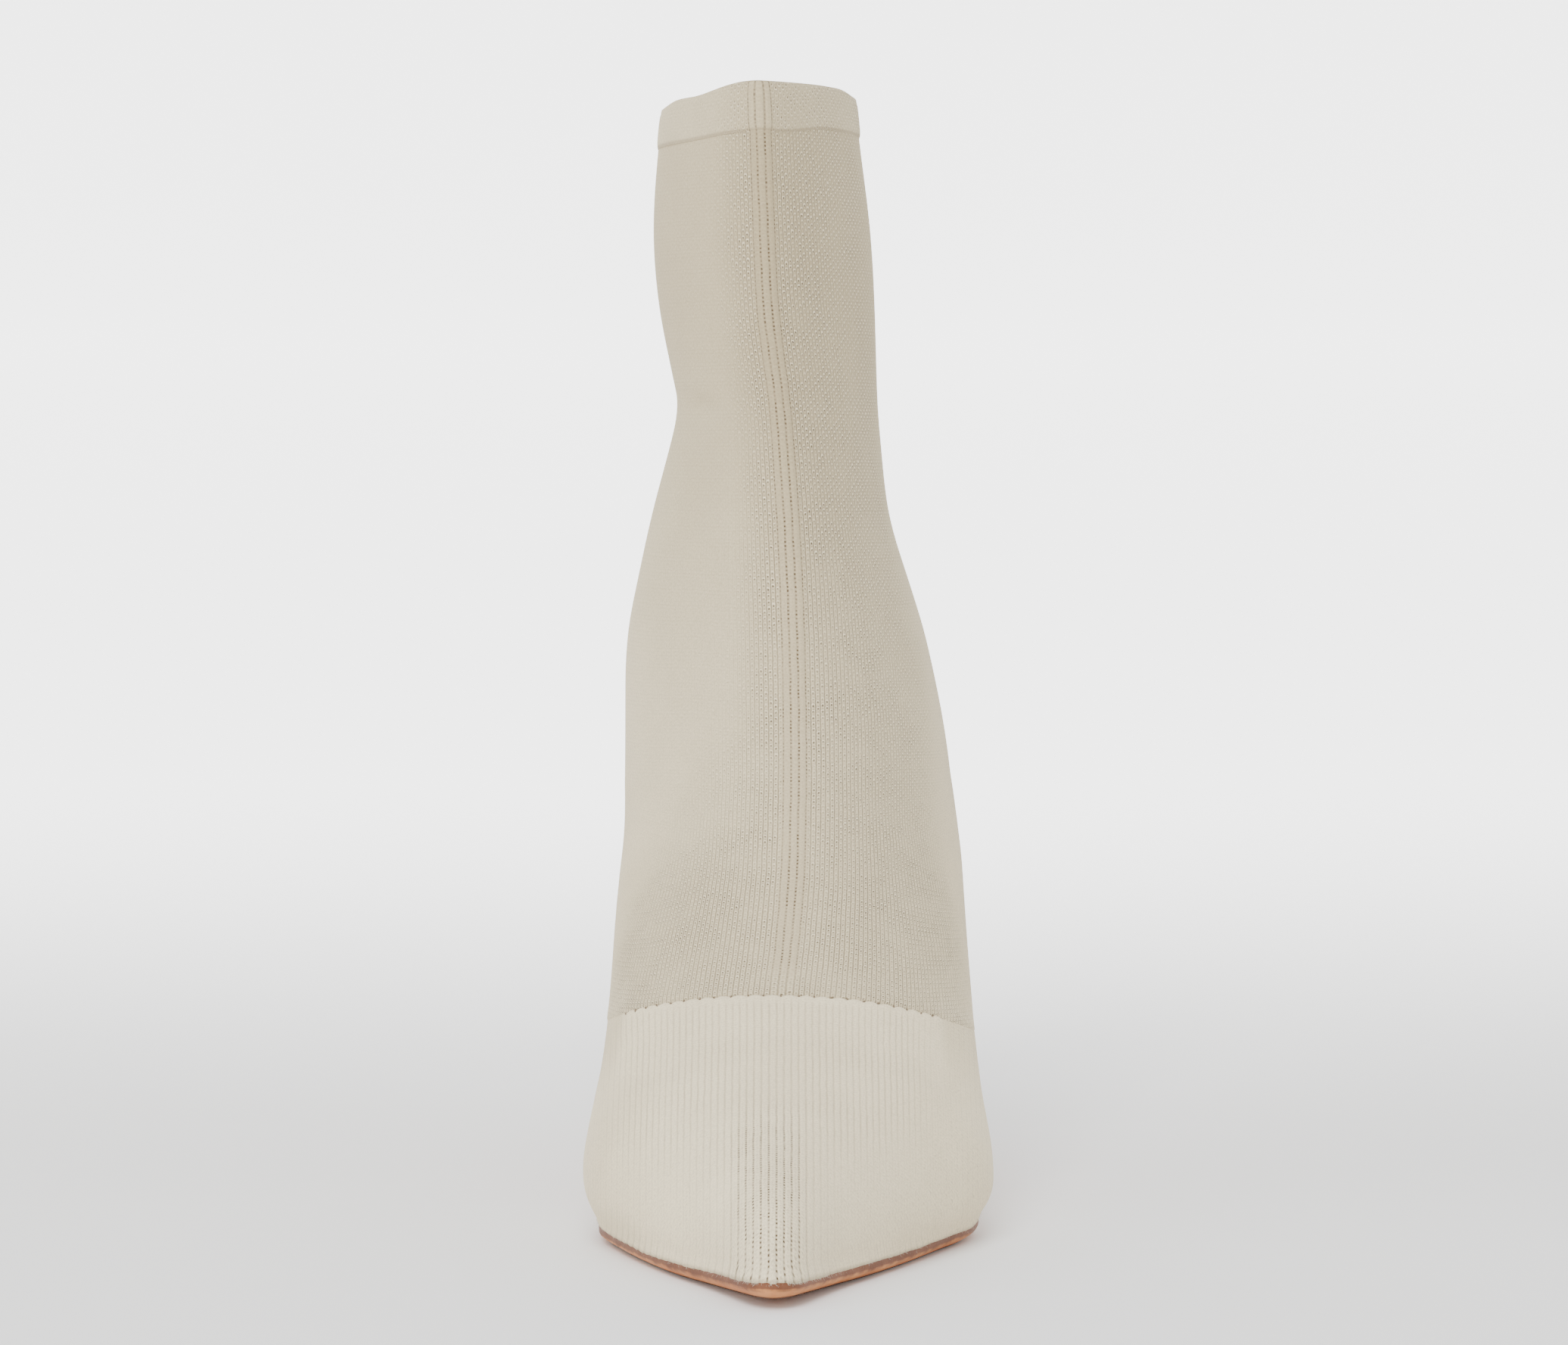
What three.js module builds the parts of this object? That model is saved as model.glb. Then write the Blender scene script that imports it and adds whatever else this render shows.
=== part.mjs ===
// A pull-on knitted ankle boot for the left foot, with a pointed toe, a thin outsole and a slim covered heel.
//
// The knitted upper is one hollow wall. It is lofted through sections that fan round the foot as those of a
// shoemaker's last do: level round the leg, leaning through the instep, upright over the toes. It is open at
// the collar and, inside the feather line, underneath, where the insole, outsole and heel close it.
// Lengths are in millimetres. "ahead" is the level distance from the back of the counter towards the toe.
// In the finished group +Z is up, the toe points along -Y and the outer side of the foot is +X.

import * as THREE from 'three';

// Driving dimensions
const LENGTH = 240;              // back of the counter to the toe tip, level
const BALL_WIDTH = 86;           // across the knitted upper at the joints of the toes
const HEEL_HEIGHT = 88;          // floor to the back of the heel seat
const LEG_HEIGHT = 153;          // back of the heel seat to the front of the collar
const LEG_WIDTH = 48;            // across the leg, where it is fullest
const COUNTER_WIDTH = 69;        // across the upper at the counter
const LEG_DEPTH = 80;            // front to back of the leg
const INSTEP_HEIGHT = 47;        // footbed to the ridge of the upper, at the joints of the toes
const TOE_SPRING = 2.4;          // how far the toe tip lifts off the floor
const SEAT_ANGLE = 17;           // slope of the heel seat, in degrees
const WALL = 1.8;                // knitted wall with its backing
const HEM_HEIGHT = 12.5;         // turned hem at the front of the collar
const HEM_STEP = 0.6;            // extra thickness of the turned hem
const RIB_WIDTH = 5.6;           // raised ribs down the front of the leg
const RIB_RISE = 0.5;
const SOLE_THICKNESS = 3.5;      // outsole under the toes
const WAIST_THICKNESS = 2.6;     // outsole under the arch
const SOLE_EDGE = 0.6;           // outsole edge outside the feather line
const SOLE_BEVEL = 3;            // slope cut under the outsole's edge
const INSOLE_THICKNESS = 2;
const HEEL_TIP_WIDTH = 11;
const HEEL_TIP_LENGTH = 12;
const TOP_PIECE_HEIGHT = 6;
const TOP_PIECE_EDGE = 0.3;      // top piece outside the heel's tip
const FIT_GAP = 0.3;             // clearance between pieces that meet
const INSOLE_INSET = 3.6;        // insole inside the feather line, clear of the wall
const BREAST_HOLLOW = 2;         // hollow across the front of the heel

const knit = new THREE.MeshStandardMaterial({ color: 0xd8d1c4, roughness: 0.95, metalness: 0 });
const lining = new THREE.MeshStandardMaterial({ color: 0xcdbfa8, roughness: 0.8, metalness: 0 });
const soleLeather = new THREE.MeshStandardMaterial({ color: 0xb9825a, roughness: 0.55, metalness: 0 });
const coveredHeel = new THREE.MeshStandardMaterial({ color: 0xd2c9ba, roughness: 0.85, metalness: 0 });
const rubber = new THREE.MeshStandardMaterial({ color: 0x3a302a, roughness: 0.7, metalness: 0 });

const RADIANS = Math.PI / 180;
const SEAT_BACK = 0.0167 * LENGTH;      // feather line at the back of the seat, ahead of the counter's back
const SEAT_END = 0.158 * LENGTH;        // where the flat heel seat turns down into the arch
const BREAST = 0.183 * LENGTH;          // front of the heel, where the outsole starts
const TREAD_START = 0.625 * LENGTH;     // the tread lies flat on the floor from here
const TREAD_END = 0.758 * LENGTH;       // to here
const TREAD_LEVEL = SOLE_THICKNESS + FIT_GAP;

// A table with named columns, as one object for each row.
const table = (names, rows) => rows.map((row) => Object.fromEntries(names.map((name, k) => [name, row[k]])));

// Sections of the leg, from the collar down. "up" is the height of the back point above the heel seat and
// "rise" how much higher the front point is, as shares of LEG_HEIGHT. "back" is a share of LENGTH and
// "reach", front to back, one of LEG_DEPTH. "inner", "outer" and "ridge" are sideways from the middle plane,
// as shares of LEG_WIDTH. "widest" is how far forward the section is widest, and "crest" how round its front
// is: 2 is an ellipse.
const LEG_COLUMNS = ['up', 'back', 'reach', 'rise', 'inner', 'outer', 'ridge', 'widest', 'crest'];
const LEG_SECTIONS = table(LEG_COLUMNS, [
  [0.951, 0.033, 1.0, 0.044, 0.545, 0.322, -0.113, 0.47, 1.42],
  [0.889, 0.035, 1.0, 0.029, 0.569, 0.342, -0.104, 0.47, 1.42],
  [0.765, 0.038, 1.004, 0.02, 0.598, 0.394, -0.090, 0.47, 1.45],
  [0.654, 0.042, 1.0, 0.016, 0.573, 0.415, -0.073, 0.47, 1.48],
  [0.562, 0.046, 1.0, 0.018, 0.513, 0.423, -0.035, 0.47, 1.5],
  [0.51, 0.047, 1.004, 0.016, 0.485, 0.429, -0.015, 0.47, 1.5],
  [0.451, 0.044, 1.023, 0.014, 0.525, 0.445, 0.000, 0.47, 1.52],
  [0.36, 0.033, 1.073, 0.014, 0.605, 0.476, 0.020, 0.47, 1.55],
]);

// Sections round the counter, down to the back of the seat: "reach" is a share of LENGTH here, and "inner",
// "outer" and "ridge" are shares of COUNTER_WIDTH.
const COUNTER_SECTIONS = table(LEG_COLUMNS, [
  [0.2614, 0.0187, 0.3812, 0.0229, 0.4652, 0.3957, 0.0232, 0.47, 1.58],
  [0.1830, 0.0067, 0.4058, 0.0327, 0.4971, 0.4449, 0.0290, 0.475, 1.6],
  [0.1176, 0.0021, 0.4250, 0.0392, 0.5058, 0.4768, 0.0319, 0.48, 1.62],
  [0.0654, 0.0046, 0.4371, 0.0425, 0.5058, 0.5000, 0.0333, 0.48, 1.64],
  [0.0281, 0.0104, 0.4458, 0.0373, 0.5058, 0.5145, 0.0341, 0.48, 1.65],
  [0.0065, 0.0150, 0.4558, 0.0196, 0.5058, 0.5232, 0.0341, 0.48, 1.66],
  [0.0000, 0.0167, 0.4708, -0.0131, 0.5058, 0.5290, 0.0326, 0.48, 1.68],
]);

// Sections that stand on the heel seat. "ahead" is where a section meets the footbed, as a share of LENGTH;
// "lean" is where its ridge lies between the last counter section's ridge, 0, and the toe tip, 1; "height" is
// the ridge above that footbed point, as a share of INSTEP_HEIGHT; the sideways values are shares of
// COUNTER_WIDTH.
const SEAT_SECTIONS = table(['ahead', 'lean', 'height', 'inner', 'outer', 'ridge', 'widest', 'crest'], [
  [0.0217, 0.016, -0.094, 0.506, 0.533, 0.032, 0.48, 1.69],
  [0.0396, 0.045, -0.169, 0.504, 0.539, 0.030, 0.475, 1.71],
  [0.0708, 0.073, -0.215, 0.504, 0.545, 0.028, 0.47, 1.73],
  [0.1167, 0.106, -0.242, 0.506, 0.551, 0.023, 0.46, 1.76],
  [0.1667, 0.138, -0.254, 0.510, 0.557, 0.017, 0.45, 1.8],
]);

// Sections of the foot, on to the toe tip. "inswell" and "outswell" are how far the wall stands out past the
// feather line on each side; they and "ridge" are shares of BALL_WIDTH.
const FOOT_SECTIONS = table(['ahead', 'lean', 'height', 'inswell', 'outswell', 'ridge', 'widest', 'crest'], [
  [0.2500, 0.179, -0.119, 0.156, 0.174, 0.008, 0.42, 1.84],
  [0.3333, 0.220, 0.149, 0.177, 0.177, 0.002, 0.38, 1.88],
  [0.4167, 0.264, 0.455, 0.164, 0.150, -0.005, 0.34, 1.92],
  [0.5000, 0.313, 0.727, 0.112, 0.092, -0.010, 0.3, 1.96],
  [0.5708, 0.366, 0.846, 0.062, 0.053, -0.015, 0.26, 2.0],
  [0.6250, 0.423, 0.834, 0.045, 0.048, -0.019, 0.23, 2.0],
  [0.6875, 0.496, 0.766, 0.047, 0.049, -0.022, 0.22, 2.02],
  [0.7583, 0.589, 0.694, 0.041, 0.040, -0.023, 0.24, 2.04],
  [0.8292, 0.695, 0.613, 0.030, 0.030, -0.023, 0.27, 2.06],
  [0.8917, 0.797, 0.525, 0.022, 0.022, -0.023, 0.3, 2.06],
  [0.9417, 0.889, 0.428, 0.015, 0.015, -0.023, 0.32, 2.06],
  [0.9750, 0.951, 0.333, 0.010, 0.010, -0.024, 0.34, 2.04],
  [0.9917, 0.984, 0.233, 0.006, 0.006, -0.024, 0.36, 2.02],
  [1.0000, 1.000, 0.134, 0.000, 0.000, -0.024, 0.38, 2.0],
]);

// The feather line, where the upper meets the outsole: its middle and half width, as shares of BALL_WIDTH.
const OUTLINE = table(['ahead', 'middle', 'half'], [
  [0.0167, 0.0047, 0],
  [0.0667, 0.0047, 0.244],
  [0.125, 0.0035, 0.288],
  [0.208, 0.0047, 0.279],
  [0.292, 0.0116, 0.262],
  [0.375, 0.0209, 0.273],
  [0.458, 0.0256, 0.331],
  [0.542, 0.0221, 0.413],
  [0.604, 0.0128, 0.453],
  [0.646, 0.0047, 0.444],
  [0.708, -0.0093, 0.388],
  [0.771, -0.0174, 0.319],
  [0.833, -0.0233, 0.242],
  [0.896, -0.0244, 0.156],
  [0.950, -0.0244, 0.093],
  [0.983, -0.0244, 0.055],
  [1.0, -0.0244, 0],
]);

// Outline of the covered heel from its seat down to the tip: each share is 1 at the seat and 0 at the tip.
const HEEL_RINGS = table(['down', 'back', 'front', 'width', 'hollow'], [
  [0.0, 1.0, 1.0, 1.0, 0.0],
  [0.05, 0.97, 0.87, 0.955, 0.2],
  [0.12, 0.87, 0.63, 0.82, 0.6],
  [0.22, 0.67, 0.32, 0.59, 1.0],
  [0.34, 0.44, 0.08, 0.35, 0.8],
  [0.48, 0.24, -0.07, 0.18, 0.4],
  [0.64, 0.11, -0.1, 0.08, 0.15],
  [0.82, 0.03, -0.06, 0.02, 0.0],
  [1.0, 0.0, 0.0, 0.0, 0.0],
]);

const clamp = THREE.MathUtils.clamp;
const lerp = THREE.MathUtils.lerp;

// A smooth curve through the values ys at rising places xs that never overshoots them.
function smoothThrough(xs, ys) {
  const slopes = xs.slice(1).map((x, k) => (ys[k + 1] - ys[k]) / (x - xs[k]));
  const tangents = ys.map((_, k) => {
    if (k === 0) return slopes[0];
    if (k === ys.length - 1) return slopes[k - 1];
    const [before, after] = [slopes[k - 1], slopes[k]];
    return before * after <= 0 ? 0 : 2 * before * after / (before + after);
  });
  return (x) => {
    let k = 0;
    while (k < xs.length - 2 && x > xs[k + 1]) k += 1;
    const span = xs[k + 1] - xs[k];
    const t = clamp((x - xs[k]) / span, 0, 1);
    const eased = t * t * (3 - 2 * t);
    return ys[k] + (ys[k + 1] - ys[k]) * eased
      + span * (tangents[k] * t * (1 - t) * (1 - t) - tangents[k + 1] * t * t * (1 - t));
  };
}

// Height of the feather line above the floor: a flat seat, an S-shaped arch, a flat tread and the toe spring.
const SEAT_SLOPE = Math.tan(SEAT_ANGLE * RADIANS);
const SEAT_END_LEVEL = HEEL_HEIGHT - (SEAT_END - SEAT_BACK) * SEAT_SLOPE;

function footbed(ahead) {
  if (ahead <= SEAT_END) return HEEL_HEIGHT - (ahead - SEAT_BACK) * SEAT_SLOPE;
  if (ahead < TREAD_START) {
    const span = TREAD_START - SEAT_END;
    const t = (ahead - SEAT_END) / span;
    return lerp(SEAT_END_LEVEL, TREAD_LEVEL, t * t * (3 - 2 * t)) - SEAT_SLOPE * span * t * (1 - t) * (1 - t);
  }
  const past = clamp((ahead - TREAD_END) / (LENGTH - TREAD_END), 0, 1.1);
  return TREAD_LEVEL + TOE_SPRING * past * past;
}

// The footbed's downward normal at a place: how far back and down one millimetre of depth goes.
function footbedDown(ahead) {
  const step = 0.5;
  const slope = (footbed(ahead + step) - footbed(ahead - step)) / (2 * step);
  const scale = 1 / Math.hypot(1, slope);
  return { ahead: slope * scale, up: -scale };
}

// The outline is joined in an angle whose cosine is the distance along, so that both its ends come out round.
const turn = (ahead) => Math.acos(clamp(1 - 2 * (ahead - SEAT_BACK) / (LENGTH - SEAT_BACK), -1, 1));
const outlineTurns = OUTLINE.map((row) => turn(row.ahead * LENGTH));
const outlineMiddle = smoothThrough(outlineTurns, OUTLINE.map((row) => row.middle * BALL_WIDTH));
const outlineHalf = smoothThrough(outlineTurns, OUTLINE.map((row) => row.half * BALL_WIDTH));

function outline(ahead) {
  return { middle: outlineMiddle(turn(ahead)), half: outlineHalf(turn(ahead)) };
}

// The sides of a section, both as places and as swells past the feather line.
function sidesOf(edge, inner, outer, ridge) {
  const inswell = edge.middle - edge.half - inner;
  const outswell = outer - edge.middle - edge.half;
  return { inner, outer, inswell, outswell, ridge };
}

// Every table row as one list of sections in millimetres, from the collar to the toe tip. The leg's and the
// counter's sections close on the back seam; those of the foot stand on the feather line.
function tableSections() {
  const legSection = (row, width, depth) => ({
    ahead: row.back * LENGTH,
    level: HEEL_HEIGHT + row.up * LEG_HEIGHT,
    ridgeAhead: row.back * LENGTH + row.reach * depth,
    ridgeLevel: HEEL_HEIGHT + (row.up + row.rise) * LEG_HEIGHT,
    seam: (row.outer - row.inner) / 2 * width,
    ...sidesOf({ middle: 0, half: 0 }, -row.inner * width, row.outer * width, row.ridge * width),
    widest: row.widest,
    crest: row.crest,
  });
  const leg = LEG_SECTIONS.map((row) => legSection(row, LEG_WIDTH, LEG_DEPTH));
  const counter = COUNTER_SECTIONS.map((row) => legSection(row, COUNTER_WIDTH, LENGTH));
  const corner = counter[counter.length - 1];
  const standing = (row, sides) => ({
    ahead: row.ahead * LENGTH,
    level: footbed(row.ahead * LENGTH),
    ridgeAhead: lerp(corner.ridgeAhead, LENGTH, row.lean),
    ridgeLevel: footbed(row.ahead * LENGTH) + row.height * INSTEP_HEIGHT,
    seam: corner.seam,
    ...sides,
    widest: row.widest,
    crest: row.crest,
  });
  const seat = SEAT_SECTIONS.map((row) => standing(row, sidesOf(
    outline(row.ahead * LENGTH),
    -row.inner * COUNTER_WIDTH,
    row.outer * COUNTER_WIDTH,
    row.ridge * COUNTER_WIDTH,
  )));
  const foot = FOOT_SECTIONS.map((row) => {
    const edge = outline(row.ahead * LENGTH);
    const inner = edge.middle - edge.half - row.inswell * BALL_WIDTH;
    const outer = edge.middle + edge.half + row.outswell * BALL_WIDTH;
    return standing(row, sidesOf(edge, inner, outer, row.ridge * BALL_WIDTH));
  });
  return [...leg, ...counter, ...seat, ...foot];
}

const TABLE = tableSections();
const CORNER_ROW = LEG_SECTIONS.length + COUNTER_SECTIONS.length - 1;
const SEAT_END_ROW = CORNER_ROW + SEAT_SECTIONS.length;
const TABLE_CURVES = Object.fromEntries(Object.keys(TABLE[0]).map((name) => [
  name,
  smoothThrough(TABLE.map((_, k) => k), TABLE.map((row) => row[name])),
]));

// One section of the upper at any row number, whole numbers being the table's own rows. Its sides are joined
// as places down to the end of the seat, and from there on as swells past the outline.
function sectionAt(rowNumber) {
  const values = Object.entries(TABLE_CURVES).map(([name, curve]) => [name, curve(rowNumber)]);
  const section = Object.fromEntries(values);
  const standing = rowNumber > CORNER_ROW;
  const edge = standing ? outline(section.ahead) : { middle: section.seam, half: 0 };
  const half = rowNumber === TABLE.length - 1 ? 0 : edge.half;
  const onFoot = rowNumber > SEAT_END_ROW;
  return {
    ...section,
    middle: edge.middle,
    half,
    level: standing ? footbed(section.ahead) : section.level,
    inner: onFoot ? edge.middle - half - section.inswell : section.inner,
    outer: onFoot ? edge.middle + half + section.outswell : section.outer,
  };
}

// A point of the part from its sideways place, its distance ahead of the counter and its height.
const place = (x, ahead, level) => new THREE.Vector3(x, LENGTH / 2 - ahead, level);

// A point on a section: h runs from the footbed or back seam, 0, to the ridge, 1; side is -1 on the inner
// side and 1 on the outer. Below the widest place the side curves in to the feather line, and above it it
// closes on the ridge.
function sectionPoint(section, side, h) {
  const axisAt = (share) => lerp(section.middle, section.ridge, share);
  const farthest = side < 0 ? section.inner : section.outer;
  const reach = Math.max(side * (farthest - axisAt(section.widest)), 0);
  const rim = reach > 0 ? Math.min(section.half / reach, 1) : 0;
  const above = clamp((h - section.widest) / (1 - section.widest), 0, 1);
  const width = h < section.widest
    ? Math.sqrt(1 - (1 - rim * rim) * ((section.widest - h) / section.widest) ** 2)
    : (1 - above ** section.crest) ** (1 / section.crest);
  return place(
    axisAt(h) + side * reach * width,
    lerp(section.ahead, section.ridgeAhead, h),
    lerp(section.level, section.ridgeLevel, h),
  );
}

// One side of a section from the ridge down: points at the edges of the rib band, then evenly spaced ones.
const SIDE_COLUMNS = 20;
const BAND_EDGES = [0, RIB_WIDTH / 2, RIB_WIDTH / 2 + 0.6];

function sideColumns(section, side) {
  const steps = 240;
  const path = Array.from({ length: steps + 1 }, (_, k) => {
    return sectionPoint(section, side, (1 + Math.cos(Math.PI * k / steps)) / 2);
  });
  const runs = [0];
  for (let k = 1; k <= steps; k += 1) runs.push(runs[k - 1] + path[k].distanceTo(path[k - 1]));
  const start = BAND_EDGES[BAND_EDGES.length - 1];
  const evenCount = SIDE_COLUMNS + 1 - BAND_EDGES.length;
  const even = Array.from({ length: evenCount }, (_, k) => lerp(start, runs[steps], (k + 1) / evenCount));
  let k = 1;
  return [...BAND_EDGES, ...even].map((run) => {
    while (k < steps && runs[k] < run) k += 1;
    const share = clamp((run - runs[k - 1]) / (runs[k] - runs[k - 1]), 0, 1);
    return path[k - 1].clone().lerp(path[k], share);
  });
}

// Places of the mesh rows: the table's rows with more between them where they lie far apart, and two close
// together where the hem ends.
const ROW_SPACING = 9;
const hemPlace = HEM_HEIGHT / Math.hypot(
  TABLE[0].ridgeAhead - TABLE[1].ridgeAhead,
  TABLE[0].ridgeLevel - TABLE[1].ridgeLevel,
);

function meshPlaces() {
  const places = [0];
  for (let k = 1; k < TABLE.length; k += 1) {
    const [before, after] = [TABLE[k - 1], TABLE[k]];
    const base = Math.hypot(after.ahead - before.ahead, after.level - before.level);
    const top = Math.hypot(after.ridgeAhead - before.ridgeAhead, after.ridgeLevel - before.ridgeLevel);
    const count = Math.max(1, Math.round(Math.max(base, top) / ROW_SPACING));
    for (let j = 1; j <= count; j += 1) places.push(k - 1 + j / count);
  }
  const apart = places.filter((at) => Math.abs(at - hemPlace) > 0.1);
  return [...apart, hemPlace, hemPlace + 0.03].sort((a, b) => a - b);
}

// A mesh from points and triangles of their numbers.
function solidMesh(name, points, triangles, material) {
  const geometry = new THREE.BufferGeometry();
  const flat = points.flatMap((point) => [point.x, point.y, point.z]);
  geometry.setAttribute('position', new THREE.Float32BufferAttribute(flat, 3));
  geometry.setIndex(triangles.flat());
  geometry.computeVertexNormals();
  const mesh = new THREE.Mesh(geometry, material);
  mesh.name = name;
  return mesh;
}

// Two triangles for a four-cornered face, its corners anticlockwise as seen from outside the solid.
const quad = (a, b, c, d) => [[a, b, c], [a, c, d]].filter(([p, q, r]) => p !== q && q !== r && r !== p);

// How far the rib band stands out at a column, and how much of it is left at a row: it fades out at the vamp.
const BAND_FADE = { start: 0.6, end: 0.66 };

function ribRise(section, column) {
  const onBand = Math.abs(column - SIDE_COLUMNS) < BAND_EDGES.length - 1;
  const left = 1 - THREE.MathUtils.smoothstep(section.ridgeAhead / LENGTH, BAND_FADE.start, BAND_FADE.end);
  return onBand ? RIB_RISE * left : 0;
}

// The upper: an outer and an inner surface, joined by a flat rim at the collar and one along the feather
// line. Rows run from the collar to the toe tip, columns from the inner side over the ridge to the outer
// side. On the leg the last column is the first again, and at the toe tip the two halves meet.
function buildUpper() {
  const places = meshPlaces();
  const sections = places.map(sectionAt);
  const cornerRow = places.indexOf(CORNER_ROW);
  const lastRow = places.length - 1;
  const lastColumn = 2 * SIDE_COLUMNS;
  const grid = sections.flatMap((section) => [
    ...sideColumns(section, -1).reverse(),
    ...sideColumns(section, 1).slice(1),
  ]);
  const number = (row, column) => {
    const wrapped = row <= cornerRow && column === lastColumn ? 0 : column;
    return row * (lastColumn + 1) + (row === lastRow ? Math.min(column, lastColumn - column) : wrapped);
  };
  const cell = (row, column) => [
    number(row, column),
    number(row + 1, column),
    number(row + 1, column + 1),
    number(row, column + 1),
  ];
  const cells = [];
  for (let row = 0; row < lastRow; row += 1) {
    for (let column = 0; column < lastColumn; column += 1) cells.push(cell(row, column));
  }

  const normals = grid.map(() => new THREE.Vector3());
  cells.forEach((corners) => {
    const [a, b, c, d] = corners.map((k) => grid[k]);
    const normal = c.clone().sub(a).cross(d.clone().sub(b));
    corners.forEach((k) => normals[k].add(normal));
  });
  normals.forEach((normal) => normal.normalize());

  // The rims lie in the collar's plane and on the footbed, so there the wall is measured within that plane.
  const flattened = (normal, planeNormal) => {
    const along = normal.clone().addScaledVector(planeNormal, -normal.dot(planeNormal));
    const length = along.length();
    return along.multiplyScalar(1 / (length * Math.max(length, 0.625)));
  };
  const collar = sections[0];
  const collarPlane = new THREE.Vector3(
    0,
    collar.ridgeLevel - collar.level,
    collar.ridgeAhead - collar.ahead,
  ).normalize();
  const mapped = (move) => grid.map((_, k) => {
    const row = Math.floor(k / (lastColumn + 1));
    const column = k % (lastColumn + 1);
    const own = number(row, column);
    const normal = row === 0 ? flattened(normals[own], collarPlane) : normals[own];
    return move(grid[own].clone(), normal, row, column);
  });
  const outer = mapped((point, normal, row, column) => {
    const hemRise = places[row] <= hemPlace ? HEM_STEP : 0;
    return point.addScaledVector(normal, ribRise(sections[row], column) + hemRise);
  });
  const inner = mapped((point, normal, row, column) => {
    const onFeather = row >= cornerRow && (column === 0 || column === lastColumn);
    if (!onFeather) return point.addScaledVector(normal, -WALL);
    const down = footbedDown(LENGTH / 2 - point.y);
    point.addScaledVector(flattened(normal, new THREE.Vector3(0, -down.ahead, down.up)), -WALL);
    point.z = footbed(LENGTH / 2 - point.y);
    return point;
  });

  const count = grid.length;
  const triangles = cells.flatMap(([a, b, c, d]) => [
    ...quad(a, b, c, d),
    ...quad(a + count, d + count, c + count, b + count),
  ]);
  for (let column = 0; column < lastColumn; column += 1) {
    const [here, next] = [number(0, column), number(0, column + 1)];
    triangles.push(...quad(here, next, next + count, here + count));
  }
  for (let row = cornerRow; row < lastRow; row += 1) {
    const [left, leftNext] = [number(row, 0), number(row + 1, 0)];
    const [right, rightNext] = [number(row, lastColumn), number(row + 1, lastColumn)];
    triangles.push(...quad(leftNext, left, left + count, leftNext + count));
    triangles.push(...quad(right, rightNext, rightNext + count, right + count));
  }
  return solidMesh('upper', [...outer, ...inner], triangles, knit);
}

// The outline's two ends, where its halves meet, are at angles of 0 and a half turn.
const END_ANGLE = 0.01;
const isEnd = (angle) => angle < END_ANGLE || angle > Math.PI - END_ANGLE;

// A point on the outline at an angle of the turn, moved out from the feather line by an edge.
function edgePoint(angle, side, edge) {
  const at = (t) => {
    const ahead = SEAT_BACK + (LENGTH - SEAT_BACK) * (1 - Math.cos(t)) / 2;
    return { ahead, x: outlineMiddle(t) + side * outlineHalf(t) };
  };
  const here = at(angle);
  if (isEnd(angle)) return { x: here.x, ahead: here.ahead + edge * Math.sign(angle - 1) };
  const [before, after] = [at(angle - END_ANGLE), at(angle + END_ANGLE)];
  const run = Math.hypot(after.ahead - before.ahead, after.x - before.x);
  return {
    x: here.x + side * edge * (after.ahead - before.ahead) / run,
    ahead: here.ahead - side * edge * (after.x - before.x) / run,
  };
}

// A plate that follows the footbed between two angles of the outline. Each layer is a depth below the footbed
// and an edge outside the feather line; the first is the top and the last the bottom. Where the plate stops
// short of an end of the outline it is cut off square.
const PLATE_STEPS = 52;

function plate(name, [start, end], layersAt, material) {
  const points = [];
  const rings = Array.from({ length: PLATE_STEPS + 1 }, (_, k) => {
    const angle = lerp(start, end, k / PLATE_STEPS);
    const layers = layersAt(edgePoint(angle, 1, 0).ahead);
    const row = (side) => layers.map(({ depth, edge }) => {
      const spot = edgePoint(angle, side, edge);
      const down = footbedDown(spot.ahead);
      points.push(place(spot.x, spot.ahead + down.ahead * depth, footbed(spot.ahead) + down.up * depth));
      return points.length - 1;
    });
    const right = row(1);
    const left = isEnd(angle) ? right : row(-1);
    return [...right, ...[...left].reverse()];
  });
  const triangles = [];
  for (let k = 0; k < PLATE_STEPS; k += 1) {
    const [here, next] = [rings[k], rings[k + 1]];
    here.forEach((_, j) => {
      const after = (j + 1) % here.length;
      triangles.push(...quad(here[j], next[j], next[after], here[after]));
    });
  }
  const squareEnd = (ring) => {
    for (let j = 0; j < ring.length / 2 - 1; j += 1) {
      const across = ring.length - 1 - j;
      triangles.push(...quad(ring[j], ring[j + 1], ring[across - 1], ring[across]));
    }
  };
  if (!isEnd(start)) squareEnd(rings[0]);
  if (!isEnd(end)) squareEnd([...rings[PLATE_STEPS]].reverse());
  return solidMesh(name, points, triangles, material);
}

function buildOutsole() {
  const layersAt = (ahead) => {
    const forefoot = THREE.MathUtils.smoothstep(ahead, 0.47 * LENGTH, TREAD_START);
    const thickness = lerp(WAIST_THICKNESS, SOLE_THICKNESS, forefoot);
    return [
      { depth: FIT_GAP, edge: SOLE_EDGE },
      { depth: FIT_GAP + thickness * 0.45, edge: SOLE_EDGE },
      { depth: FIT_GAP + thickness, edge: SOLE_EDGE - SOLE_BEVEL },
    ];
  };
  return plate('outsole', [turn(BREAST), Math.PI], layersAt, soleLeather);
}

// The insole stops short of the pointed toe, where the wall's two sides come together.
function buildInsole() {
  const layersAt = () => [
    { depth: -INSOLE_THICKNESS, edge: -INSOLE_INSET },
    { depth: 0, edge: -INSOLE_INSET },
  ];
  return plate('insole', [0, turn(LENGTH - 3 * INSOLE_INSET)], layersAt, lining);
}

// The covered heel's seat follows the outline back from the breast and round; its tip is a small D. Both are
// lists of the same number of places, the round back first and then the straight breast.
const TIP_BACK = 0.0813 * LENGTH;
const BACK_PLACES = 37;
const BREAST_PLACES = 9;

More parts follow.
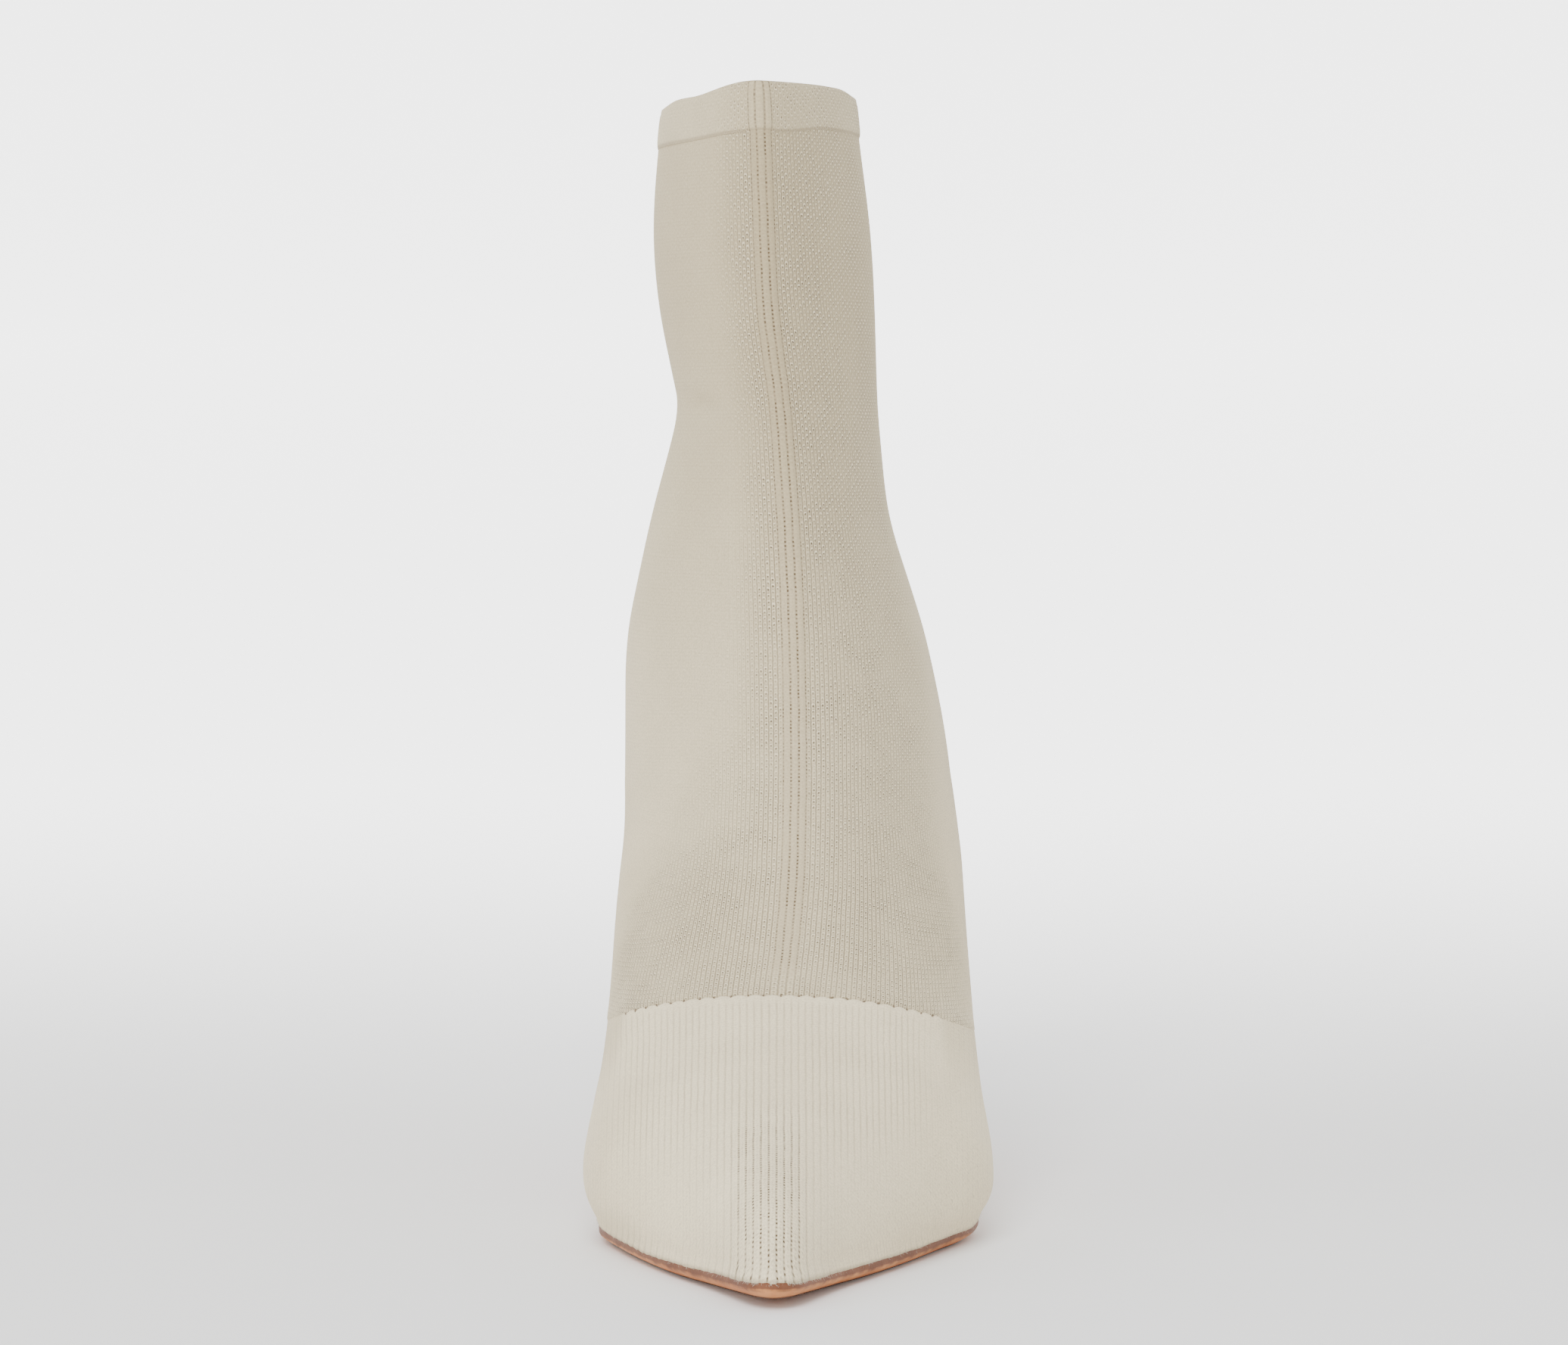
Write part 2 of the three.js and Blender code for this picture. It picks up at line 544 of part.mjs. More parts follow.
function heelSeat() {
  const breastAngle = turn(BREAST - FIT_GAP);
  const back = Array.from({ length: BACK_PLACES }, (_, k) => {
    const share = 2 * k / (BACK_PLACES - 1) - 1;
    return edgePoint(Math.abs(share) * breastAngle, Math.sign(share), SOLE_EDGE);
  });
  const [left, right] = [back[0], back[BACK_PLACES - 1]];
  const breast = Array.from({ length: BREAST_PLACES }, (_, k) => {
    const share = (k + 1) / (BREAST_PLACES + 1);
    return { x: lerp(right.x, left.x, share), ahead: lerp(right.ahead, left.ahead, share) };
  });
  return [...back, ...breast];
}

function heelTip(edge) {
  const half = HEEL_TIP_WIDTH / 2 + edge;
  const length = HEEL_TIP_LENGTH + 2 * edge;
  const back = Array.from({ length: BACK_PLACES }, (_, k) => {
    const around = (2 * k / (BACK_PLACES - 1) - 1) * Math.PI / 2;
    return { x: half * Math.sin(around), ahead: TIP_BACK - edge + 0.8 * length * (1 - Math.cos(around)) };
  });
  const breast = Array.from({ length: BREAST_PLACES }, (_, k) => {
    const share = (k + 1) / (BREAST_PLACES + 1);
    return {
      x: lerp(half, -half, share),
      ahead: TIP_BACK - edge + length * (0.8 + 0.2 * Math.sqrt(Math.sin(Math.PI * share))),
    };
  });
  return [...back, ...breast];
}

// A solid from level rings of points, the first on top, closed at both ends.
function ringSolid(name, rings, material) {
  const size = rings[0].length;
  const points = rings.flat();
  const middleOf = (ring) => ring.reduce((sum, p) => sum.add(p), new THREE.Vector3()).divideScalar(size);
  const top = points.push(middleOf(rings[0])) - 1;
  const bottom = points.push(middleOf(rings[rings.length - 1])) - 1;
  const triangles = [];
  for (let k = 0; k < size; k += 1) {
    const next = (k + 1) % size;
    triangles.push([top, next, k]);
    for (let ring = 0; ring < rings.length - 1; ring += 1) {
      const [upper, lower] = [ring * size, (ring + 1) * size];
      triangles.push(...quad(upper + k, upper + next, lower + next, lower + k));
    }
    const last = (rings.length - 1) * size;
    triangles.push([bottom, last + k, last + next]);
  }
  return solidMesh(name, points, triangles, material);
}

function buildHeel() {
  const seat = heelSeat();
  const tip = heelTip(0);
  const seatBack = SEAT_BACK - SOLE_EDGE;
  const rings = HEEL_RINGS.map((ring) => seat.map((top, k) => {
    const forward = (top.ahead - seatBack) / (BREAST - seatBack);
    const onBreast = (k - BACK_PLACES + 1) / (BREAST_PLACES + 1);
    const hollow = onBreast > 0 ? ring.hollow * BREAST_HOLLOW * Math.sin(Math.PI * onBreast) : 0;
    return place(
      lerp(tip[k].x, top.x, ring.width),
      lerp(tip[k].ahead, top.ahead, lerp(ring.back, ring.front, forward)) - hollow,
      lerp(footbed(top.ahead) - FIT_GAP, TOP_PIECE_HEIGHT + FIT_GAP, ring.down),
    );
  }));
  return ringSolid('heel', rings, coveredHeel);
}

function buildTopPiece() {
  const outlineAt = (level) => heelTip(TOP_PIECE_EDGE).map((spot) => place(spot.x, spot.ahead, level));
  return ringSolid('top_piece', [outlineAt(TOP_PIECE_HEIGHT), outlineAt(0)], rubber);
}

const group = new THREE.Group();
group.name = 'sweater_boot';
group.add(buildUpper(), buildInsole(), buildOutsole(), buildHeel(), buildTopPiece());

// The origin is at the middle of the floor under the part.
const bounds = new THREE.Box3().setFromObject(group);
const middle = bounds.getCenter(new THREE.Vector3());
group.children.forEach((mesh) => mesh.geometry.translate(-middle.x, -middle.y, -bounds.min.z));

export default group;
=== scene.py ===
import bmesh
import bpy
import numpy as np
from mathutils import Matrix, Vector


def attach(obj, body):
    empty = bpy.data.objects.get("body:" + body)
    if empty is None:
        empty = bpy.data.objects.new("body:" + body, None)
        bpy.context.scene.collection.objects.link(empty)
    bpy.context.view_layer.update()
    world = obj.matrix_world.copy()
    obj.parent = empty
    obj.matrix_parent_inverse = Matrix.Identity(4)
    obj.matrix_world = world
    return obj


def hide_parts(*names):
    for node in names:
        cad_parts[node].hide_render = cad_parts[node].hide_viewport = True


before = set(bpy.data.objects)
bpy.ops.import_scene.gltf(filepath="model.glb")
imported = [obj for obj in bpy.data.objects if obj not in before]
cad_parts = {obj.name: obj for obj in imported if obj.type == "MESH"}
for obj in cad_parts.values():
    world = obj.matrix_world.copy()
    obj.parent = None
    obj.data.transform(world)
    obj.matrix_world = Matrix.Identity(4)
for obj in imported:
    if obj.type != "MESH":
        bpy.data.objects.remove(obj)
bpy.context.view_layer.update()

# The insole: a board with its shank, cut to the bottom of the last and covered with a thin beige sock lining.
# It goes on the last first, the knit is pulled over its edge, and only its top shows, down inside the leg.
# All lengths are in millimetres; "ahead" is the level distance from the back of the counter to the toe.
LENGTH = 240
BALL_WIDTH = 86
HEEL_HEIGHT = 88
SEAT_BACK = 0.0167 * LENGTH
SEAT_END = 0.158 * LENGTH
TREAD_START = 0.625 * LENGTH
TREAD_END = 0.758 * LENGTH
TREAD_LEVEL = 3.8
TOE_SPRING = 2.4
SEAT_SLOPE = np.tan(np.radians(17))
FIT_GAP = 0.3
INSOLE_THICKNESS = 2
INSOLE_INSET = 3.6
# Where the last's middle plane and the back of the counter lie in the part's own frame.
MIDDLE_PLACE = 0.971
BACK_PLACE = 120.63

# The feather line, where the knit turns under: its middle and half width, as shares of BALL_WIDTH.
OUTLINE = np.array([
    # ahead, middle, half
    (0.0167, 0.0047, 0),
    (0.0667, 0.0047, 0.244),
    (0.125, 0.0035, 0.288),
    (0.208, 0.0047, 0.279),
    (0.292, 0.0116, 0.262),
    (0.375, 0.0209, 0.273),
    (0.458, 0.0256, 0.331),
    (0.542, 0.0221, 0.413),
    (0.604, 0.0128, 0.453),
    (0.646, 0.0047, 0.444),
    (0.708, -0.0093, 0.388),
    (0.771, -0.0174, 0.319),
    (0.833, -0.0233, 0.242),
    (0.896, -0.0244, 0.156),
    (0.950, -0.0244, 0.093),
    (0.983, -0.0244, 0.055),
    (1.0, -0.0244, 0),
])


def through(places, values):
    """A curve through the values that never overshoots them: cubics whose slope at each place is the
    harmonic mean of the slopes on its two sides, and zero at a peak."""
    x, y = np.asarray(places, float), np.asarray(values, float)
    slope = np.diff(y) / np.diff(x)
    before, after = slope[:-1], slope[1:]
    rising = before * after > 0
    mean = 2 * before * after / np.where(rising, before + after, 1)
    tangent = np.concatenate([slope[:1], np.where(rising, mean, 0), slope[-1:]])

    def at(place):
        k = np.clip(np.searchsorted(x, place, side="right") - 1, 0, len(x) - 2)
        span = x[k + 1] - x[k]
        t = np.clip((place - x[k]) / span, 0, 1)
        bent = tangent[k] * t * (1 - t) ** 2 - tangent[k + 1] * t * t * (1 - t)
        return y[k] + (y[k + 1] - y[k]) * t * t * (3 - 2 * t) + span * bent

    return at


def eased(value, start, end):
    """A smooth step from 0 at start to 1 at end."""
    t = np.clip((value - start) / (end - start), 0, 1)
    return t * t * (3 - 2 * t)


def footbed(ahead):
    """Height of the footbed: a straight slope under the heel, an S down the arch, level at the tread, and
    a parabola up to the toe."""
    span = TREAD_START - SEAT_END
    t = np.clip((ahead - SEAT_END) / span, 0, 1)
    top = HEEL_HEIGHT - (SEAT_END - SEAT_BACK) * SEAT_SLOPE
    arch = top + (TREAD_LEVEL - top) * t * t * (3 - 2 * t) - SEAT_SLOPE * span * t * (1 - t) ** 2
    spring = TOE_SPRING * np.clip((ahead - TREAD_END) / (LENGTH - TREAD_END), 0, 1.1) ** 2
    return np.where(ahead <= SEAT_END, HEEL_HEIGHT - (ahead - SEAT_BACK) * SEAT_SLOPE, arch + spring)


def turn(ahead):
    """The outline's angle at a place: its cosine falls evenly from 1 at the seat's back to -1 at the toe."""
    return np.arccos(np.clip(1 - 2 * (ahead - SEAT_BACK) / (LENGTH - SEAT_BACK), -1, 1))


outline_middle = through(turn(OUTLINE[:, 0] * LENGTH), OUTLINE[:, 1] * BALL_WIDTH)
outline_half = through(turn(OUTLINE[:, 0] * LENGTH), OUTLINE[:, 2] * BALL_WIDTH)


def edge_line(angle, side, edge):
    """Sideways place and distance ahead of the feather line at these angles, moved outwards by edge along
    the line's normal in plan."""
    def at(t):
        ahead = SEAT_BACK + (LENGTH - SEAT_BACK) * (1 - np.cos(t)) / 2
        return outline_middle(t) + side * outline_half(t), ahead

    step = 0.004
    x, ahead = at(angle)
    (x0, ahead0), (x1, ahead1) = at(np.maximum(angle - step, 0)), at(np.minimum(angle + step, np.pi))
    run = np.hypot(x1 - x0, ahead1 - ahead0)
    out_x, out_ahead = side * (ahead1 - ahead0) / run, -side * (x1 - x0) / run
    at_back, at_toe = angle <= step / 2, angle >= np.pi - step / 2
    out_x = np.where(at_back | at_toe, 0, out_x)
    out_ahead = np.where(at_back, -1, np.where(at_toe, 1, out_ahead))
    return x + edge * out_x, ahead + edge * out_ahead


def placed(x, ahead, level):
    """Points in the part's own frame, in millimetres, the toe along -Y."""
    return np.stack([x - MIDDLE_PLACE, BACK_PLACE - ahead, level], axis=-1)


def plate_points(angles, profile, gap, thickness):
    """A plate under the foot. The profile is a closed loop of share across, edge and share of the depth:
    each point lies at that share of the way between the outline's two sides, moved out by the edge, and its
    depth is the gap and that share of the thickness, along the footbed's normal. The loop is carried along
    the outline's angles, and the thickness may change with the place."""
    share, edge, depth = (column[None, :] for column in np.array(profile, float).T[:3])
    angle = angles[:, None] + 0 * share
    depth = gap + depth * thickness(edge_line(angle, 1, 0)[1])
    left_x, left_ahead = edge_line(angle, -1, edge)
    right_x, right_ahead = edge_line(angle, 1, edge)
    x = left_x + (right_x - left_x) * (share + 1) / 2
    ahead = left_ahead + (right_ahead - left_ahead) * (share + 1) / 2
    slope = footbed(ahead + 0.5) - footbed(ahead - 0.5)
    scale = 1 / np.hypot(1, slope)
    return placed(x, ahead + depth * slope * scale, footbed(ahead) - depth * scale)


def loop_mesh(name, points, caps, uv, fields):
    """A tube of quads from a grid of closed loops, with a flat face on each end that is named in caps."""
    rows, size = points.shape[:2]
    number = np.arange(rows * size).reshape(rows, size)
    here, after = number[:-1], np.roll(number, -1, axis=1)[:-1]
    below, below_after = number[1:], np.roll(number, -1, axis=1)[1:]
    faces = np.stack([here, below, below_after, after], axis=-1).reshape(-1, 4).tolist()
    if "first" in caps:
        faces.append(number[0].tolist())
    if "last" in caps:
        faces.append(number[-1, ::-1].tolist())
    return finished(name, points, faces, uv.reshape(-1, 2), fields)


def lengths(points, axis):
    """Distance gone along one direction of a grid of points, from its first."""
    steps = np.diff(points, axis=axis, prepend=np.take(points, [0], axis))
    return np.linalg.norm(steps, axis=2).cumsum(axis=axis)


def finished(name, points, faces, uv, fields, slots=0):
    """An object from points in millimetres, with UV and named fields for each point and a material slot for
    each face. Coincident points are merged, and it is shaded smooth with sharp folds."""
    mesh = bpy.data.meshes.new(name)
    mesh.from_pydata((points.reshape(-1, 3) / 1000).tolist(), [], faces)
    mesh.polygons.foreach_set("material_index", np.broadcast_to(slots, len(faces)).astype(np.int32))
    for label, values in fields.items():
        spread = np.broadcast_to(np.asarray(values, np.float32).ravel(), len(mesh.vertices))
        mesh.attributes.new(label, "FLOAT", "POINT").data.foreach_set("value", np.ascontiguousarray(spread))
    corner = np.empty(len(mesh.loops), np.int32)
    mesh.loops.foreach_get("vertex_index", corner)
    mesh.uv_layers.new(name="cloth").data.foreach_set("uv", uv[corner].astype(np.float32).ravel())
    merged = bmesh.new()
    merged.from_mesh(mesh)
    bmesh.ops.remove_doubles(merged, verts=merged.verts, dist=2e-6)
    bmesh.ops.dissolve_degenerate(merged, edges=merged.edges, dist=1e-7)
    merged.to_mesh(mesh)
    merged.free()
    mesh.shade_smooth()
    mesh.set_sharp_from_angle(angle=np.radians(50))
    made = bpy.data.objects.new(name, mesh)
    bpy.context.scene.collection.objects.link(made)
    return made


def blank_material(name, **surface):
    """A new material, its node tree and its surface shader, with the shader's plain values set."""
    made = bpy.data.materials.new(name)
    made.use_nodes = True
    shader = made.node_tree.nodes["Principled BSDF"]
    for socket, value in surface.items():
        shader.inputs[socket.replace("_", " ")].default_value = value
    return made, made.node_tree, shader


def node(tree, kind, inputs, out=0, **settings):
    """One output of a new node. An input that is a socket is linked, and any other value is set."""
    made = tree.nodes.new("ShaderNode" + kind)
    for name, value in settings.items():
        setattr(made, name, value)
    for key, value in inputs.items():
        if isinstance(value, bpy.types.NodeSocket):
            tree.links.new(value, made.inputs[key])
        else:
            made.inputs[key].default_value = value
    return made.outputs[out]


def sums(tree, operation, *values):
    """A Math node's result."""
    return node(tree, "Math", dict(enumerate(values)), operation=operation)


def times(tree, first, *others):
    """The product of all the values, as nodes."""
    for value in others:
        first = sums(tree, "MULTIPLY", first, value)
    return first


def faded(tree, value, start, end):
    """A smooth step from 0 at start to 1 at end, as nodes."""
    ends = {0: value, 1: start, 2: end, 3: 0.0, 4: 1.0}
    return node(tree, "MapRange", ends, interpolation_type="SMOOTHSTEP")


def blended(tree, share, first, second):
    """The first colour where the share is 0 and the second where it is 1."""
    return node(tree, "Mix", {0: share, 6: first, 7: second}, out=2, data_type="RGBA")


def blotches(tree, size, detail=3.0):
    """Soft noise from 0 to 1 with spots about this many millimetres across."""
    place = node(tree, "TexCoord", {}, out=3)
    spots = {"Vector": place, "Scale": 1000 / size, "Detail": detail, "Roughness": 0.55}
    return node(tree, "TexNoise", spots)


def bumped(tree, shader, height, depth):
    """Lets the height, from 0 to 1, stand out of the surface by this many millimetres."""
    normal = node(tree, "Bump", {"Strength": 1.0, "Distance": depth / 1000, "Height": height})
    tree.links.new(normal, shader.inputs["Normal"])


sock_leather, tree, shader = blank_material("sock_leather", Roughness=0.62, Specular_IOR_Level=0.35)
grain = sums(tree, "MULTIPLY_ADD", blotches(tree, 0.9), 0.7, times(tree, blotches(tree, 0.25), 0.3))
worn = faded(tree, blotches(tree, 38), 0.35, 0.7)
tint = blended(tree, worn, (0.60, 0.50, 0.38, 1), (0.66, 0.56, 0.44, 1))
tint = blended(tree, faded(tree, grain, 0.42, 0.62), (0.47, 0.38, 0.28, 1), tint)
tree.links.new(tint, shader.inputs["Base Color"])
bumped(tree, shader, grain, 0.12)

top_edge = [(share, -INSOLE_INSET - 0.35, 0.12 * share ** 6) for share in np.linspace(-1, 1, 15)]
insole_profile = [
    *top_edge,
    (1, -INSOLE_INSET, 0.3),
    (1, -INSOLE_INSET, 1),
    (-1, -INSOLE_INSET, 1),
    (-1, -INSOLE_INSET, 0.3),
]
insole_angles = np.linspace(0, turn(LENGTH - 3 * INSOLE_INSET), 150)
points = plate_points(insole_angles, insole_profile, 0, lambda ahead: INSOLE_THICKNESS)
insole = loop_mesh("insole_board", points, ["last"], points[..., :2], {})
insole.data.materials.append(sock_leather)
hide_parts("insole")
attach(insole, "root")

# The knitted upper: one tube of cream bird's-eye knit over a thin backing, pulled on the last. Its wales run
# down the leg from the front ridge, where raised ribs with rows of pinholes between them go to the vamp.
# It ends at a scalloped seam across the vamp, and is tucked under the insole's edge and cemented there.
LEG_HEIGHT = 153
LEG_WIDTH = 48
COUNTER_WIDTH = 69
LEG_DEPTH = 80
INSTEP_HEIGHT = 47
WALL = 1.8
# Width of a wale in the ribbed strip and beside it, height of a pair of courses, spacing of the slots between
# the strip's ribs, and the number of the section where the leg's rows end, before they bend to the vamp seam.
STRIP_WALE = 1.65
WALE = 1.12
COURSE = 1.4
SLOT_PITCH = 0.875
VAMP_SEAM = 22.42
# Levels of the soft fold and its roll at the ankle and of the hollow below, and how far ahead the crease is.
FOLD_LEVEL = 167
ROLL_LEVEL = 172
HOLLOW_LEVEL = 146
CREASE_AHEAD = 112

# Sections of the leg: "up" and "rise" are shares of LEG_HEIGHT, "back" of LENGTH, "reach" of LEG_DEPTH, and
# "inner", "outer" and "ridge" of LEG_WIDTH.
LEG_SECTIONS = np.array([
    # up, back, reach, rise, inner, outer, ridge, widest, crest
    (0.951, 0.033, 1.0, 0.044, 0.545, 0.322, -0.113, 0.47, 1.42),
    (0.889, 0.035, 1.0, 0.029, 0.569, 0.342, -0.104, 0.47, 1.42),
    (0.765, 0.038, 1.004, 0.02, 0.598, 0.394, -0.090, 0.47, 1.45),
    (0.654, 0.042, 1.0, 0.016, 0.573, 0.415, -0.073, 0.47, 1.48),
    (0.562, 0.046, 1.0, 0.018, 0.513, 0.423, -0.035, 0.47, 1.5),
    (0.51, 0.047, 1.004, 0.016, 0.485, 0.429, -0.015, 0.47, 1.5),
    (0.451, 0.044, 1.023, 0.014, 0.525, 0.445, 0.000, 0.47, 1.52),
    (0.36, 0.033, 1.073, 0.014, 0.605, 0.476, 0.020, 0.47, 1.55),
])

# Sections round the counter: "reach" is a share of LENGTH, and the sideways values of COUNTER_WIDTH.
COUNTER_SECTIONS = np.array([
    # up, back, reach, rise, inner, outer, ridge, widest, crest
    (0.2614, 0.0187, 0.3812, 0.0229, 0.4652, 0.3957, 0.0232, 0.47, 1.58),
    (0.1830, 0.0067, 0.4058, 0.0327, 0.4971, 0.4449, 0.0290, 0.475, 1.6),
    (0.1176, 0.0021, 0.4250, 0.0392, 0.5058, 0.4768, 0.0319, 0.48, 1.62),
    (0.0654, 0.0046, 0.4371, 0.0425, 0.5058, 0.5000, 0.0333, 0.48, 1.64),
    (0.0281, 0.0104, 0.4458, 0.0373, 0.5058, 0.5145, 0.0341, 0.48, 1.65),
    (0.0065, 0.0150, 0.4558, 0.0196, 0.5058, 0.5232, 0.0341, 0.48, 1.66),
    (0.0, 0.0167, 0.4708, -0.0131, 0.5058, 0.5290, 0.0326, 0.48, 1.68),
])

# Sections that stand on the heel seat: "lean" is where the ridge lies between the last counter section's
# and the toe tip, "height" is the ridge over the footbed as a share of INSTEP_HEIGHT.
SEAT_SECTIONS = np.array([
    # ahead, lean, height, inner, outer, ridge, widest, crest
    (0.0217, 0.016, -0.094, 0.506, 0.533, 0.032, 0.48, 1.69),
    (0.0396, 0.045, -0.169, 0.504, 0.539, 0.030, 0.475, 1.71),
    (0.0708, 0.073, -0.215, 0.504, 0.545, 0.028, 0.47, 1.73),
    (0.1167, 0.106, -0.242, 0.506, 0.551, 0.023, 0.46, 1.76),
    (0.1667, 0.138, -0.254, 0.510, 0.557, 0.017, 0.45, 1.8),
])

# Sections of the foot: "inswell" and "outswell" are how far the knit stands out past the feather line, as
# shares of BALL_WIDTH, as "ridge" is.
FOOT_SECTIONS = np.array([
    # ahead, lean, height, inswell, outswell, ridge, widest, crest
    (0.2500, 0.179, -0.119, 0.156, 0.174, 0.008, 0.42, 1.84),
    (0.3333, 0.220, 0.149, 0.177, 0.177, 0.002, 0.38, 1.88),
    (0.4167, 0.264, 0.455, 0.164, 0.150, -0.005, 0.34, 1.92),
    (0.5000, 0.313, 0.727, 0.112, 0.092, -0.010, 0.3, 1.96),
    (0.5708, 0.366, 0.846, 0.062, 0.053, -0.015, 0.26, 2.0),
    (0.6250, 0.423, 0.834, 0.045, 0.048, -0.019, 0.23, 2.0),
    (0.6875, 0.496, 0.766, 0.047, 0.049, -0.022, 0.22, 2.02),
    (0.7583, 0.589, 0.694, 0.041, 0.040, -0.023, 0.24, 2.04),
    (0.8292, 0.695, 0.613, 0.030, 0.030, -0.023, 0.27, 2.06),
    (0.8917, 0.797, 0.525, 0.022, 0.022, -0.023, 0.3, 2.06),
    (0.9417, 0.889, 0.428, 0.015, 0.015, -0.023, 0.32, 2.06),
    (0.9750, 0.951, 0.333, 0.010, 0.010, -0.024, 0.34, 2.04),
    (0.9917, 0.984, 0.233, 0.006, 0.006, -0.024, 0.36, 2.02),
    (1.0000, 1.000, 0.134, 0.000, 0.000, -0.024, 0.38, 2.0),
])


def closed_sections(table, width, depth):
    """Sections that close on the back seam, in millimetres: base, ridge, sides, widest share and crest."""
    up, back, reach, rise, inner, outer, ridge, widest, crest = table.T
    seam = (outer - inner) / 2 * width
    return np.stack([
        back * LENGTH, HEEL_HEIGHT + up * LEG_HEIGHT,
        back * LENGTH + reach * depth, HEEL_HEIGHT + (up + rise) * LEG_HEIGHT,
        -inner * width, outer * width, ridge * width, seam, widest, crest,
    ], axis=1)


def standing_sections(table, width, swelling):
    """Sections that stand on the footbed, in the same columns. Where they swell, the sides are counted out
    from the feather line."""
    ahead, lean, height, inner, outer, ridge, widest, crest = table.T
    ahead = ahead * LENGTH
    middle, half = outline_middle(turn(ahead)), outline_half(turn(ahead))
    corner = counter[-1]
    left, right = (middle - half, middle + half) if swelling else (0, 0)
    return np.stack([
        ahead, footbed(ahead),
        corner[2] + (LENGTH - corner[2]) * lean, footbed(ahead) + height * INSTEP_HEIGHT,
        left - inner * width, right + outer * width, ridge * width, 0 * ahead + corner[7], widest, crest,
    ], axis=1)


leg = closed_sections(LEG_SECTIONS, LEG_WIDTH, LEG_DEPTH)
counter = closed_sections(COUNTER_SECTIONS, COUNTER_WIDTH, LENGTH)
seat = standing_sections(SEAT_SECTIONS, COUNTER_WIDTH, False)
foot = standing_sections(FOOT_SECTIONS, BALL_WIDTH, True)
sections = np.concatenate([leg, counter, seat, foot])
CORNER = len(leg) + len(counter) - 1
TOE = len(sections) - 1


def half_sections(rows, side, runs_of):
    """One side of the sections at these row numbers, whole numbers being the tables' own rows. A point's
    share h goes from the feather line, 0, to the ridge, 1, along a straight axis. Below the widest share the
    side swells as a quarter of an ellipse that starts at the feather line, and above it it closes on the
    ridge as a quarter of a superellipse. runs_of gives the wanted distances from the ridge from the side's
    whole run. Returns the points and those distances."""
    numbers = np.arange(len(sections))
    fine = np.linspace(0, TOE, 40 * TOE + 1)
    softened = []
    weight = np.exp(-0.5 * (np.arange(-36, 37) / 13) ** 2)
    weight /= weight.sum()
    for column in sections.T:
        padded = np.pad(through(numbers, column)(fine), 36, mode="reflect", reflect_type="odd")
        softened.append(np.interp(rows, fine, np.convolve(padded, weight, mode="valid"))[:, None])
    ahead, level, ridge_ahead, ridge_level, inner, outer, ridge, seam, widest, crest = softened
    standing = rows[:, None] > CORNER
    middle = np.where(standing, outline_middle(turn(ahead)), seam)
    half = np.where(standing & (rows[:, None] < TOE), outline_half(turn(ahead)), 0)
    level = np.where(standing, footbed(ahead), level)
    h = (1 + np.cos(np.pi * np.arange(241) / 240))[None, :] / 2
    axis = middle + (ridge - middle) * h
    reach = np.maximum(side * ((inner if side < 0 else outer) - (middle + (ridge - middle) * widest)), 1e-6)
    rim = np.minimum(half / reach, 1)
    below = np.sqrt(np.maximum(1 - (1 - rim ** 2) * (np.minimum(h - widest, 0) / widest) ** 2, 0))
    above = np.clip((h - widest) / (1 - widest), 0, 1)
    width = np.where(h < widest, below, (1 - above ** crest) ** (1 / crest))
    x = axis + side * reach * width
    path = placed(x, ahead + (ridge_ahead - ahead) * h, level + (ridge_level - level) * h)
    run = lengths(path, 1)
    wanted = np.minimum(runs_of(run[:, -1:]), run[:, -1:])
    start = 1000.0 * np.arange(len(rows))[:, None]
    places, known = (wanted + start).ravel(), (run + start).ravel()
    found = [np.interp(places, known, path[..., k].ravel()).reshape(wanted.shape) for k in range(3)]
    return np.stack(found, axis=-1), wanted


def upper_surface(rows, runs_of):
    """The last's surface from the inner side's feather line over the ridge to the outer side's: points,
    outward normals, signed distance from the ridge and distance down from the first row."""
    inner, inner_runs = half_sections(rows, -1, runs_of)
    outer, outer_runs = half_sections(rows, 1, runs_of)
    points = np.concatenate([inner[:, ::-1], outer[:, 1:]], axis=1)
    runs = np.concatenate([-inner_runs[:, ::-1], outer_runs[:, 1:]], axis=1)
    normals = np.cross(np.gradient(points, axis=0), np.gradient(points, axis=1))
    back = rows <= CORNER
    both = normals[back, 0] + normals[back, -1]
    normals[back, 0] = normals[back, -1] = both
    if rows[-1] == TOE:
        folded = normals[-2] + normals[-2, ::-1]
        normals[-1] = folded * (0, 1, 1)
    normals /= np.maximum(np.linalg.norm(normals, axis=2, keepdims=True), 1e-9)
    return points, normals, runs, lengths(points, 0)


def grid_quads(number):
    """Quads between the neighbours of a grid of point numbers."""
    corners = [number[:-1, :-1], number[1:, :-1], number[1:, 1:], number[:-1, 1:]]
    return np.stack(corners, axis=-1).reshape(-1, 4)


